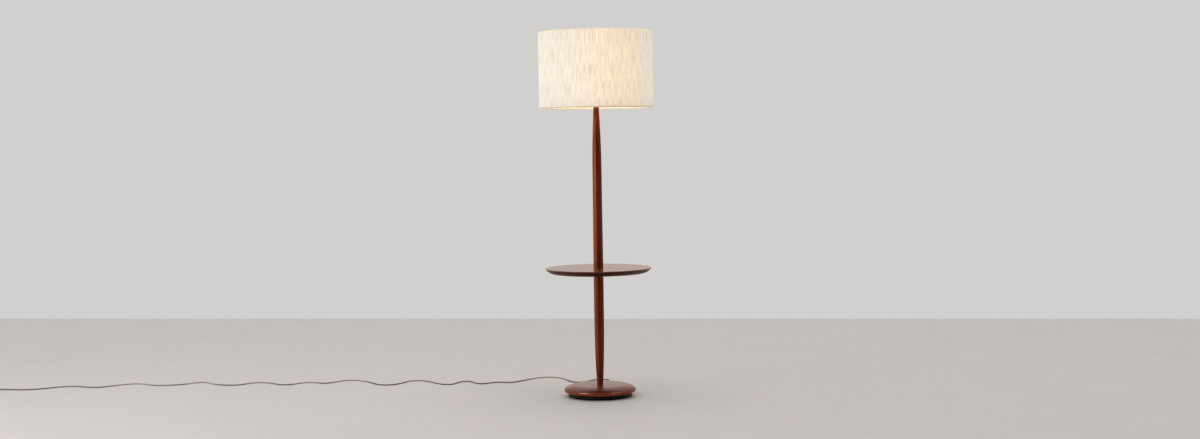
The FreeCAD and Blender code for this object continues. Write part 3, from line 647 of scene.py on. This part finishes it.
# dark wood painted on the table's undercut edge as shade; the coat there is thinner
tableRimPaintedShade = {"colour": darkWood, "heights": (0.5405, 0.5455),
            "coatShare": 0.2, "coatHeights": (0.5405, 0.5455)}
poleWood = stainedWood("wood_pole", "z", (0.035, 0.060, 0), 0.0)
footWood = stainedWood("wood_foot", "x", discPith, 0.57, footRimPaintedHighlight)
tableWood = stainedWood("wood_table", "x", discPith, 0.70, tableRimPaintedShade)
iron = castIron()
felt = feltCloth()
steel = metalSkin("steel", paint(168, 168, 166), paint(196, 195, 192), 0.30)
brass = metalSkin("brass", paint(196, 152, 82), paint(214, 174, 104), 0.26)
aluminium = metalSkin("aluminium", paint(188, 188, 190), paint(208, 208, 210), 0.32)
whiteWire = mouldedSkin("white_wire", paint(226, 224, 218), paint(238, 236, 230), 0.42)
phenolic = mouldedSkin("phenolic", paint(22, 18, 16), paint(40, 33, 29), 0.34)
card = mouldedSkin("card", paint(150, 118, 82), paint(176, 144, 104), 0.85, 500, 0.0002)
blackPlastic = mouldedSkin("black_plastic", paint(16, 16, 17), paint(30, 30, 31), 0.40)
cordSkin = jacketSkin()
plugSkin = mouldedSkin("cord_plug", paint(104, 87, 75), paint(122, 104, 91), 0.46)
wireJacket = mouldedSkin("wire_jacket", paint(196, 190, 178), paint(216, 210, 198), 0.5)
strap = mouldedSkin("strap", paint(20, 20, 22), paint(46, 45, 47), 0.9, 1600, 0.0004)
linen = slubbedLinen()
tape = hemTape()
pearl = pearlLiner()
glass = litGlass()


def wear(piece, material):
    piece.data.materials.clear()
    piece.data.materials.append(material)
    return piece


# the pole: two lengths of eight-sided wood, swelling and tapering

poleLook = {
    "facetTurn": -12.0, "arris": 0.7, "steps": 44,
    "lowerFoot": heights["footTop"], "lowerLength": heights["tableUnder"] - heights["footTop"],
    "lower": [(0.0, 25.6), (0.11, 32.0), (0.265, 37.2), (0.455, 40.5), (0.66, 41.5), (0.86, 41.7),
              (1.0, 41.5)],
    "upperFoot": heights["tableTop"] - heights["tableRecess"],
    "upperLength": heights["poleTop"] - heights["tableTop"] + heights["tableRecess"],
    "upper": [(0.0, 41.5), (0.155, 40.8), (0.41, 39.4), (0.59, 39.0), (0.71, 37.6), (0.835, 32.3),
              (0.94, 26.0), (1.0, 22.4)],
    "bore": 5.3, "nutHole": 13.0, "nutHoleDepth": 52.0,
}
# how far a cutter reaches past the surface
past = 5.0


def widthAt(stations, share):
    # a smooth curve through the measured widths
    places = [s for s, w in stations]
    i = max(k for k in range(len(stations) - 1) if places[k] <= share + 1e-9)
    (sa, wa), (sb, wb) = stations[max(i - 1, 0)], stations[i]
    (sc, wc), (sd, wd) = stations[i + 1], stations[min(i + 2, len(stations) - 1)]
    t = (share - sb) / (sc - sb)
    slopeB = (wc - wa) / (sc - sa) * (sc - sb)
    slopeC = (wd - wb) / (sd - sb) * (sc - sb)
    return ((2 * t ** 3 - 3 * t ** 2 + 1) * wb + (t ** 3 - 2 * t ** 2 + t) * slopeB
            + (-2 * t ** 3 + 3 * t ** 2) * wc + (t ** 3 - t ** 2) * slopeC)


def poleLength(name, foot, length, stations, holes=()):
    # one length of the pole, bored through for the rod
    look = poleLook
    toCorner = 0.5 / math.cos(math.radians(look["facetTurn"]))
    shares = [i / look["steps"] for i in range(look["steps"] + 1)]
    rings = [(widthAt(stations, s) * toCorner, foot + s * length) for s in shares]
    pole = turnedSolid(name, rings, sides=8, turn=look["facetTurn"])
    openPiece(pole)
    rounded(pole, lambda e: rise(e) > 0.7, look["arris"], 3)
    closePiece()
    bored(pole, [(look["bore"], foot - past, foot + length + past), *holes])
    return wear(evenFaces(pole, 25), poleWood)


def lowerPole():
    look = poleLook
    pole = poleLength("lowerPoleWood", look["lowerFoot"], look["lowerLength"], look["lower"])
    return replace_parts(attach(pole, "stand"), "lower_pole")


def upperPole():
    # hollow at its foot, over the nut on the lower one
    look = poleLook
    foot = look["upperFoot"]
    pole = poleLength("upperPoleWood", foot, look["upperLength"], look["upper"],
                      [(look["nutHole"], foot - past, foot + look["nutHoleDepth"])])
    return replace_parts(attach(pole, "stand"), "upper_pole")


# the foot: a turned wooden disc on its black plinth

footLook = {
    "widest": 152.5, "under": heights["footUnder"], "lowerRound": 8.7,
    "upperRound": 9.0, "upperTurn": 38.0,
    "shoulder": 98.0, "shoulderHeight": heights["footTop"] - 1.0, "rimHandle": 9.0, "topHandle": 24.0,
    "poleSeat": 25.6, "top": heights["footTop"], "crown": [(72, -0.65), (48, -0.3)],
    "boss": 120.25, "bossTop": 7.5, "hardware": 27.0, "hardwareTop": 18.0, "tenon": 9.25, "tenonDepth": 6.0,
}


def footDisc():
    look = footLook
    under, top = look["under"], look["top"]
    inner = look["widest"] - look["lowerRound"]
    waist = under + look["lowerRound"]
    rings = [(inner, under)] + arc((inner, waist), look["lowerRound"], -90, 0, 9)
    # the rim is eased above its widest ring too, then runs up to the flat top in one shallow curve
    rings += arc((look["widest"] - look["upperRound"], waist), look["upperRound"], 0, look["upperTurn"], 6)
    radius, height = rings[-1]
    turn = math.radians(look["upperTurn"])
    leave = (radius - look["rimHandle"] * math.sin(turn), height + look["rimHandle"] * math.cos(turn))
    arrive = (look["shoulder"] + look["topHandle"], look["shoulderHeight"])
    rings += curved([rings[-1], leave, arrive, (look["shoulder"], look["shoulderHeight"])], 18)
    rings += [(radius, top + drop) for radius, drop in look["crown"]] + [(look["poleSeat"], top)]
    disc = turnedSolid("footDisc", rings, sides=180)
    bored(disc, [(look["boss"], under - past, under + look["bossTop"]),
                 (look["hardware"], under - past, under + look["hardwareTop"]),
                 (poleLook["bore"], under, top + past),
                 (look["tenon"], top - look["tenonDepth"], top + past)])
    wear(smoothed(disc), footWood)
    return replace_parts(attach(disc, "stand"), "base_top")


# the table: flat on top, its edge undercut

tableLook = {
    "radius": 224.0, "under": heights["tableUnder"], "top": heights["tableTop"],
    "land": 3.0, "bevel": 28.0, "round": 0.9, "flatFrom": 12.0,
    "easeAcross": 0.62, "easeUp": 0.18,
    "recess": heights["tableRecess"], "recessGap": 0.25,
}


def tableDisc():
    look = tableLook
    under, top = look["under"], look["top"]
    inner = look["radius"] - look["bevel"]
    landLow = top - look["land"]
    ease = (inner + look["easeAcross"] * look["bevel"], under + look["easeUp"] * (top - under))
    rings = [(inner, under)] + curved([(inner, under), ease, (look["radius"], landLow)], 12)
    small = look["round"]
    rings.append((look["radius"], top - small))
    rings += arc((look["radius"] - small, top - small), small, 0, 90, 4)
    rings.append((look["radius"] - look["flatFrom"], top))
    disc = turnedSolid("tableDisc", rings, sides=180)
    # the upper pole stands in an eight-sided recess
    turn = poleLook["facetTurn"]
    corner = (poleLook["upper"][0][1] / 2 + look["recessGap"]) / math.cos(math.radians(turn))
    drilled(disc, corner, 2 * past, (0, 0, top - look["recess"] + past), (0, 0, turn), 8)
    bored(disc, [(poleLook["bore"], under - past, top + past)])
    wear(smoothed(disc), tableWood)
    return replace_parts(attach(disc, "stand"), "table_top")


print("wooden pieces")
woodPieces = [lowerPole(), upperPole(), footDisc(), tableDisc()]


# the shade: linen on a stiff liner, a folded tape round each rim

shadeLook = {
    "sides": 192,
    "low": heights["shadeLow"], "high": heights["shadeHigh"],
    "linenOut": 240.4, "linenIn": 239.7,
    "linenLow": heights["shadeLow"] + 0.6, "linenHigh": heights["shadeHigh"] - 0.6,
    "outer": 241.0, "inner": 235.0, "cloth": 0.55, "hem": 5.0, "lip": 4.0, "fold": 0.45,
    "armAngles": [90, 210, 330], "armGap": 6.0, "armDrop": 3.2,
    "joinAngle": -7.5, "joinWidth": 7.0,
    "seamWidth": 11.0, "seamThick": 0.5, "seamLift": 0.45, "seamEdge": 0.22,
}


def linenDrum():
    look = shadeLook
    levels = [look["linenLow"] + (look["linenHigh"] - look["linenLow"]) * i / 8 for i in range(9)]
    rings = [(look["linenOut"], z) for z in levels] + [(look["linenIn"], z) for z in reversed(levels)]
    drum = smoothed(turnedRing("linenDrum", rings, look["sides"]))
    wear(wrapMap(drum), linen)
    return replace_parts(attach(drum, "shade"), "shade_linen")


def lapSeam():
    # the linen's join, down the back
    look = shadeLook
    height = look["linenHigh"] - look["linenLow"] - 2 * look["hem"] - 1
    seam = ribbon("lapSeam", look["seamWidth"], height, 4, 40)
    openPiece(seam)
    # its two edges lie closer to the linen
    pick(seam, "VERT", lambda v: abs(v.co.x) > 0.005)
    bpy.ops.transform.translate(value=(0, 0, -look["seamEdge"] * mm))
    closePiece()
    applied(seam, "SOLIDIFY", thickness=look["seamThick"] * mm, offset=-1.0)
    moved(seam, (0, look["linenOut"] + look["seamLift"], (look["linenHigh"] + look["linenLow"]) / 2),
          (-90, 0, 0))
    wear(wrapMap(smoothed(seam, 40)), linen)
    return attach(seam, "shade")


def hemRings(edge, inward):
    # the tape's section: down the outside, over the rim and a short way up the inside
    look = shadeLook
    outer, inner, cloth, fold = look["outer"], look["inner"], look["cloth"], look["fold"]
    section = [
        (outer, look["hem"]), (outer, look["hem"] / 2), (outer, fold),
        (outer - fold * 0.4, fold * 0.3), (outer - fold, 0),
        (inner + fold, 0), (inner + fold * 0.3, fold * 0.3), (inner, fold), (inner, look["lip"]),
        (inner + cloth, look["lip"]), (inner + cloth, cloth),
        (outer - cloth, cloth), (outer - cloth, look["hem"]),
    ]
    return [(radius, edge + inward * away) for radius, away in section]


def hem(name, edge, inward, node, armAngles=()):
    # the lip is cut where arms pass
    look = shadeLook
    ring = turnedRing(name, hemRings(edge, inward), look["sides"])
    for angle in armAngles:
        way = math.radians(angle)
        reach = look["inner"] - 0.5
        cutter = block("cutter", (look["armGap"],) * 3)
        moved(cutter, (reach * math.cos(way), reach * math.sin(way), edge - look["armDrop"]), (0, 0, angle))
        cutOut(ring, cutter)
    wear(wrapMap(smoothed(ring, 50)), tape)
    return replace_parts(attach(ring, "shade"), node)


def tapeJoin(name, edge, inward):
    # the short overlap where the tape's two ends meet
    look = shadeLook
    tab = ribbon(name, look["joinWidth"], look["hem"] - 0.2, 6, 5)
    applied(tab, "SOLIDIFY", thickness=0.0004, offset=0.0)
    softened(tab, 0.15)
    moved(tab, (0, -look["outer"] - 0.15, edge + inward * (look["hem"] + 0.2) / 2), (90, 0, 0))
    moved(tab, turn=(0, 0, look["joinAngle"]))
    wear(wrapMap(smoothed(tab, 40)), tape)
    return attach(tab, "shade")


print("shade")
drum = linenDrum()
shadeLow, shadeHigh = shadeLook["low"], shadeLook["high"]
shadeExtras = [lapSeam(), hem("topHem", shadeHigh, -1, "shade_top_hem", shadeLook["armAngles"]),
               hem("bottomHem", shadeLow, 1, "shade_bottom_hem"),
               tapeJoin("topTapeJoin", shadeHigh, -1), tapeJoin("bottomTapeJoin", shadeLow, 1)]


# the cord: one smooth line from the foot's back, over the floor, into its coil and plug

cordLook = {
    "radius": 2.5, "floor": 2.6,
    "coilTurns": 4, "coilPitch": 5.6, "coilInner": 22.2, "coilCentre": (-2737.0, 378.6), "coilHeight": 4.1,
    "pointsPerTurn": 16,
    "plugStart": (-2767.0, 412.0, 9.7),
    "start": [(0, 163, 6), (0, 188, 6), (4, 222, 4.2), (13, 262, 2.9)],
    "waves": [
        (25, 310), (39, 355), (41, 404), (40, 448), (9, 470), (-27, 450), (-50, 416), (-72, 388),
        (-98, 379), (-122, 392), (-142, 432), (-158, 482), (-186, 532), (-232, 562), (-284, 542),
        (-324, 498), (-358, 448), (-394, 408), (-430, 408), (-466, 426), (-499, 396), (-537, 375),
        (-566, 408), (-585, 457), (-624, 462), (-646, 416), (-664, 372), (-704, 374), (-742, 420),
        (-780, 480), (-828, 514), (-872, 494), (-894, 434), (-928, 390), (-974, 382), (-1012, 416),
        (-1042, 470), (-1084, 524), (-1136, 558), (-1186, 534), (-1218, 480), (-1256, 460), (-1302, 498),
        (-1346, 502), (-1382, 454), (-1424, 428), (-1470, 460), (-1512, 506), (-1562, 528), (-1604, 494),
        (-1640, 444), (-1690, 450), (-1742, 472), (-1782, 520), (-1826, 564), (-1866, 524), (-1912, 484),
        (-1968, 474), (-2020, 468), (-2066, 510), (-2116, 542), (-2170, 524), (-2214, 479), (-2262, 442),
        (-2318, 448), (-2370, 481), (-2428, 486), (-2482, 450), (-2536, 410),
    ],
    "lift": [(-2590, 396, 2.9), (-2646, 404, 3.7), (-2690, 412, 4.1), (-2732, 412, 4.1)],
}


def coilPoints():
    # winds in on the floor, climbs a layer in its innermost half turn and winds out again
    look = cordLook
    middleTurn = look["coilTurns"] / 2
    shrink = math.cos(math.pi / look["pointsPerTurn"])
    points = []
    for i in range(1, look["coilTurns"] * look["pointsPerTurn"] + 1):
        turn = i / look["pointsPerTurn"]
        angle = math.pi / 2 + 2 * math.pi * turn
        radius = (look["coilInner"] + look["coilPitch"] * abs(turn - middleTurn)) / shrink
        climb = min(max((turn - middleTurn) / 0.5 + 0.5, 0.0), 1.0)
        height = look["coilHeight"] + look["coilPitch"] * (1 - math.cos(math.pi * climb)) / 2
        points.append((look["coilCentre"][0] + radius * math.cos(angle),
                       look["coilCentre"][1] + radius * math.sin(angle), height))
    return points


def floorCord():
    look = cordLook
    plugX, plugY, plugZ = look["plugStart"]
    route = look["start"] + [(x, y, look["floor"]) for x, y in look["waves"]] + look["lift"]
    route += coilPoints() + [(plugX + 15, plugY, plugZ), (plugX - 2, plugY, plugZ)]
    data = bpy.data.curves.new("floorCord", "CURVE")
    data.dimensions = "3D"
    data.resolution_u = 10
    data.bevel_depth = look["radius"] * mm
    data.bevel_resolution = 4
    data.use_fill_caps = True
    line = data.splines.new("NURBS")
    line.points.add(len(route) - 1)
    for point, spot in zip(line.points, route):
        point.co = [s * mm for s in spot] + [1.0]
    line.order_u = 3
    line.use_endpoint_u = True
    cord = bpy.data.objects.new("floorCord", data)
    bpy.context.scene.collection.objects.link(cord)
    wear(cord, cordSkin)
    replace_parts(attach(cord, "stand"), "power_cord", "cord_coil")
    return cord


# the strain relief, a ribbed taper at the back of the plinth
reliefLook = {
    "start": 121.0, "height": 6.0, "bore": 2.55, "inside": 3.85, "collar": 4.5, "tip": 3.3,
    "collarFrom": 14.1, "collarTo": 17.0, "length": 42.0,
    "ribs": 6, "ribFrom": 17.3, "ribPitch": 3.9, "ribShape": (0.9, 2.8, 3.4), "groove": 0.55,
}


def strainRelief():
    look = reliefLook
    bore, inside, collar, tip = look["bore"], look["inside"], look["collar"], look["tip"]
    rings = [(bore, 0), (inside, 0), (inside, look["collarFrom"]), (collar, look["collarFrom"] + 0.1),
             (collar + 0.1, look["collarFrom"] + 0.9), (collar + 0.1, look["collarTo"] - 0.4),
             (collar, look["collarTo"])]
    rings += ribs(look, inside + 0.35, tip + 0.15, look["ribFrom"])
    rings += [(tip - 0.2, look["length"] - 0.4), (tip - 0.4, look["length"]), (bore, look["length"])]
    relief = turnedRing("ribbedRelief", rings, 48)
    moved(relief, (0, look["start"], look["height"]), (-90, 0, 0))
    wear(smoothed(relief, 35), blackPlastic)
    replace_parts(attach(relief, "stand"), "strain_relief")


# the plug: a moulded body with thumb hollows, a ribbed neck and two flat blades
plugLook = {
    "length": 31.0, "width": 27.0, "thick": 18.8, "corner": 4.2, "frontEase": 0.9,
    "nearWidth": 0.72, "nearThick": 0.80, "hollowRim": 3.2, "hollowSlope": 1.6, "hollowDepth": 0.9,
    "neck": 15.0, "neckRadius": 6.5, "neckTip": 3.3, "neckBore": 2.6,
    "ribs": 4, "ribFrom": 0.3, "ribPitch": 3.6, "ribShape": (0.5, 2.1, 2.7), "groove": 0.5,
    "bladeWidths": {"Narrow": 6.35, "Wide": 7.9}, "bladeSpacing": 12.7, "bladeThick": 1.5,
    "bladeReach": 17.5, "bladeRoot": 6.0, "bladeCorner": 1.4, "bladeHole": 1.6, "holeFromTip": 4.2,
}


def plugBody():
    look = plugLook
    x, y, z = cordLook["plugStart"]
    near = x - look["neck"]
    body = block("plugShell", (look["length"], look["width"], look["thick"]),
                 (near - look["length"] / 2, y, z))
    openPiece(body)
    pick(body, "FACE", lambda f: f.normal.x > 0.9)
    bpy.ops.transform.resize(value=(1, look["nearWidth"], look["nearThick"]),
                             center_override=(near * mm, y * mm, z * mm))
    rounded(body, lambda e: abs((e.verts[1].co - e.verts[0].co).normalized().x) > 0.8, look["corner"], 5)
    # the thumb hollows, above and below
    pick(body, "FACE", lambda f: abs(f.normal.z) > 0.9 and f.calc_area() > 1e-4)
    bpy.ops.mesh.inset(thickness=look["hollowRim"] * mm, use_individual=True)
    bpy.ops.mesh.inset(thickness=look["hollowSlope"] * mm, depth=-look["hollowDepth"] * mm,
                       use_individual=True)
    closePiece()
    softened(body, look["frontEase"], 3, 35)
    wear(evenFaces(body, 40), plugSkin)
    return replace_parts(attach(body, "stand"), "plug_body")


def plugNeck():
    look = plugLook
    rings = [(look["neckBore"], 0)] + ribs(look, look["neckTip"], look["neckRadius"], look["ribFrom"])
    rings += [(look["neckRadius"], look["neck"] - 0.3), (look["neckRadius"], look["neck"] + 2)]
    neck = turnedSolid("plugNeck", rings, 40)
    moved(neck, cordLook["plugStart"], (0, -90, 0))
    wear(smoothed(neck, 35), plugSkin)
    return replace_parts(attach(neck, "stand"), "plug_body")


def plugBlade(kind, side):
    look = plugLook
    x, y, z = cordLook["plugStart"]
    face = x - look["neck"] - look["length"]
    root, tip = face + look["bladeRoot"], face - look["bladeReach"]
    across = y + side * look["bladeSpacing"] / 2
    blade = block("plugBlade" + kind, (root - tip, look["bladeThick"], look["bladeWidths"][kind]),
                  ((root + tip) / 2, across, z))
    openPiece(blade)
    rounded(blade, lambda e: abs(middle(e).x - tip * mm) < 1e-5 and rise(e) < 0.1, look["bladeCorner"], 3)
    closePiece()
    drilled(blade, look["bladeHole"], 2 * past, (tip + look["holeFromTip"], across, z), (90, 0, 0), 32)
    softened(blade, 0.15, angle=40)
    wear(smoothed(blade), brass)
    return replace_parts(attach(blade, "stand"), "plug_blades")


# the two straps round the coil
strapLook = {
    "inner": 18.5, "outer": 37.1, "low": 1.05, "high": 13.4, "width": 8.0, "corner": 4.0, "thick": 1.0,
    "tailLength": 12.0, "tailThick": 0.9, "tailCorner": 2.2, "tailShift": 1.0, "tailLift": 0.98,
}


def coilStrap(name, side):
    look = strapLook
    cx, cy = cordLook["coilCentre"]
    wide, tall = look["outer"] - look["inner"], look["high"] - look["low"]
    deselectAll()
    bpy.ops.mesh.primitive_plane_add(size=1)
    band = sized(name, (wide, tall, 1))
    openPiece(band)
    bpy.ops.mesh.bevel(offset=look["corner"] * mm, segments=6, affect="VERTICES")
    bpy.ops.mesh.select_all(action="SELECT")
    bpy.ops.mesh.delete(type="ONLY_FACE")
    bpy.ops.mesh.select_all(action="SELECT")
    bpy.ops.mesh.extrude_region_move(TRANSFORM_OT_translate={"value": (0, 0, look["width"] * mm)})
    closePiece()
    outward(band)
    applied(band, "SOLIDIFY", thickness=look["thick"] * mm, offset=0.0)
    softened(band, 0.2)
    along = (look["outer"] + look["inner"]) / 2 * side
    moved(band, (cx + along, cy + look["width"] / 2, (look["low"] + look["high"]) / 2), (90, 0, 0))
    wear(smoothed(band, 40), strap)
    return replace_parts(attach(band, "stand"), "cord_ties")


def strapTail(name, side):
    # the free end, laid over the strap
    look = strapLook
    cx, cy = cordLook["coilCentre"]
    tail = block(name, (look["tailLength"], look["width"], look["tailThick"]))
    openPiece(tail)
    rounded(tail, lambda e: rise(e) > 0.9 and middle(e).x * side > 0, look["tailCorner"], 4)
    closePiece()
    softened(tail, 0.2)
    along = (look["outer"] + look["inner"]) / 2 * side
    moved(tail, (cx + along - side * look["tailShift"], cy, look["high"] + look["tailLift"]))
    wear(smoothed(tail, 40), strap)
    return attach(tail, "stand")


print("cord")
cord = floorCord()
strainRelief()
cordPieces = [plugBody(), plugNeck(), plugBlade("Narrow", 1), plugBlade("Wide", -1)]
for side, name in ((1, "Right"), (-1, "Left")):
    cordPieces += [coilStrap("coilStrap" + name, side), strapTail("strapTail" + name, side)]


# the pieces that keep their solids: finishes and softened edges

def dress(name, material, soften):
    node = nodes[name]
    node.data.materials.clear()
    node.data.materials.append(material)
    for face in node.data.polygons:
        face.use_smooth = True
    weld = node.modifiers.new("Weld", "WELD")
    weld.merge_threshold = 1e-6
    if soften:
        bevel = node.modifiers.new("Bevel", "BEVEL")
        bevel.width = soften * mm
        bevel.segments = 2
        bevel.limit_method = "ANGLE"
        bevel.angle_limit = math.radians(40)
    split = node.modifiers.new("EdgeSplit", "EDGE_SPLIT")
    split.split_angle = math.radians(35)


print("hardware")
# each solid with the millimetres by which its edges are softened
dressed = [
    (iron, {"base_weight": 0.8}),
    (felt, {"felt_pad": 0.4}),
    (steel, {"weight_screws": 0.1, "base_washer": 0.2, "base_lock_washer": 0.1, "base_nut": 0.3,
             "lower_rod": 0, "upper_rod": 0, "rod_coupling": 0.3, "table_washer": 0.2, "table_nut": 0.3,
             "socket_set_screw": 0.1, "bulb_contact": 0.1}),
    (brass, {"top_nut": 0.3, "pole_cap": 0.2, "harp_saddle": 0.2, "harp": 0, "harp_sleeves": 0.15,
             "harp_seat": 0.2, "socket_cap": 0.15, "socket_shell": 0.15, "terminal_screws": 0.1,
             "centre_contact": 0.1, "switch_stem": 0.2, "finial": 0.1}),
    (aluminium, {"screw_shell": 0, "bulb_cap": 0.1}),
    (card, {"socket_liner": 0}),
    (phenolic, {"socket_insulator": 0.3}),
    (wireJacket, {"socket_wires": 0}),
    (blackPlastic, {"switch_knob": 0}),
    (glass, {"bulb_glass": 0}),
    (pearl, {"shade_liner": 0}),
    (whiteWire, {"shade_spider": 0, "shade_bottom_ring": 0}),
    (cordSkin, {"inner_lead": 0}),
]
for material, names in dressed:
    for name, soften in names.items():
        dress(name, material, soften)


# stage, light and camera

stageLook = {
    "floor": (paint(216, 211, 209), paint(204, 199, 197)),
    "cloud": (3, 4), "fine": (60, 3), "fineStretch": (1, 0.2, 1), "roughness": 0.55, "shine": 0.3,
    "wall": paint(210, 208, 206),
    "corners": [(-16, -22), (16, -22), (16, 0.86), (-16, 5.11)],
}


def floor():
    look = stageLook
    bench = newFinish("floor")
    cloud = bench.noise(*look["cloud"])
    fine = bench.noise(*look["fine"], spot=bench.place(scale=look["fineStretch"]))
    boards = bench.finish({"Base Color": bench.blend(cloud * 0.6 + fine * 0.4, *look["floor"]),
                           "Roughness": look["roughness"] + fine * 0.1,
                           "Specular IOR Level": look["shine"]})
    deselectAll()
    bpy.ops.mesh.primitive_plane_add(size=1)
    ground = named("floor")
    for corner, (x, y) in zip((0, 1, 3, 2), look["corners"]):
        ground.data.vertices[corner].co = (x, y, 0)
    ground.data.materials.append(boards)


airLook = {
    "front": 0.09, "back": 0.74, "backRamp": (-0.3, 0.45), "left": 0.10, "leftRamp": (-0.9, -0.2),
    "overhead": (0.98, 0.98, 0.98, 1), "overheadRamp": (0.45, 0.75), "warmth": (1.06, 0.98, 0.92),
}


def studioAir():
    # the pale wall all round for the eye; what lights the lamp is brighter behind it than in front
    look = airLook
    world = bpy.data.worlds.new("studio")
    bpy.context.scene.world = world
    bench = Bench(world)
    across, ahead, up = bench.parts(bench.add("TexCoord", out="Generated"))
    level = bench.between(ahead, *look["backRamp"], look["front"], look["back"])
    level = level + bench.between(across, *look["leftRamp"], look["left"], 0.0)
    red, green, blue = [level * share for share in look["warmth"]]
    walls = bench.add("CombineColor", {"Red": red, "Green": green, "Blue": blue})
    room = bench.blend(bench.between(up, *look["overheadRamp"]), walls, look["overhead"])
    seen = bench.add("LightPath", out="Is Camera Ray")
    air = bench.add("Background", {"Color": bench.blend(seen, room, stageLook["wall"])})
    bench.output(air, "OutputWorld")


def softLight(name, place, target, size, power, colour):
    light = bpy.data.lights.new(name, "AREA")
    light.shape = "RECTANGLE"
    light.size, light.size_y = size
    light.energy = power
    light.color = colour
    lamp = bpy.data.objects.new(name, light)
    bpy.context.scene.collection.objects.link(lamp)
    lamp.location = place
    lamp.rotation_euler = (Vector(target) - Vector(place)).to_track_quat("-Z", "Y").to_euler()
    return lamp


def sheenLight(name, pieces, place, target, size, power):
    # shows only as a reflection, and only on the given pieces
    lamp = softLight(name, place, target, size, power, (1.0, 0.96, 0.90))
    lamp.visible_diffuse = False
    reached = bpy.data.collections.new(name + "Reach")
    for piece in pieces:
        reached.objects.link(piece)
    lamp.light_linking.receiver_collection = reached


cameraLook = {
    "lens": 49.76, "sensor": 36.0,
    "place": (0.0097, -7.013, 1.104), "tilt": 2.880, "roll": 0.8366,
}


def camera():
    # tilted a little down and rolled a little, as the picture was taken
    look = cameraLook
    data = bpy.data.cameras.new("camera")
    data.lens = look["lens"]
    data.sensor_width = look["sensor"]
    eye = bpy.data.objects.new("camera", data)
    bpy.context.scene.collection.objects.link(eye)
    tilt = Matrix.Rotation(math.radians(90 - look["tilt"]), 4, "X")
    roll = Matrix.Rotation(math.radians(-look["roll"]), 4, "Z")
    eye.matrix_world = Matrix.Translation(look["place"]) @ tilt @ roll
    bpy.context.scene.camera = eye


print("stage")
floor()
studioAir()
softLight("window", (-3.6, -2.2, 1.9), (0, 0, 0.9), (2.2, 2.2), 42, (1.0, 0.99, 0.97))
poles, foot = woodPieces[:2], woodPieces[2:3]
sheenLight("poleSheen", poles, (-3.0, -1.15, 0.9), (0, 0, 0.75), (1.3, 2.6), 80)
# two more draw the highlight along the rim of the foot
for name, side, power in (("rimSheenLeft", -1, 150), ("rimSheenRight", 1, 70)):
    sheenLight(name, foot, (2.49 * side, -1.44, 2.12), (0.06 * side, -0.137, 0.03), (2.2, 0.9), power)
camera()
bpy.context.scene.view_settings.view_transform = "Standard"

print("done")
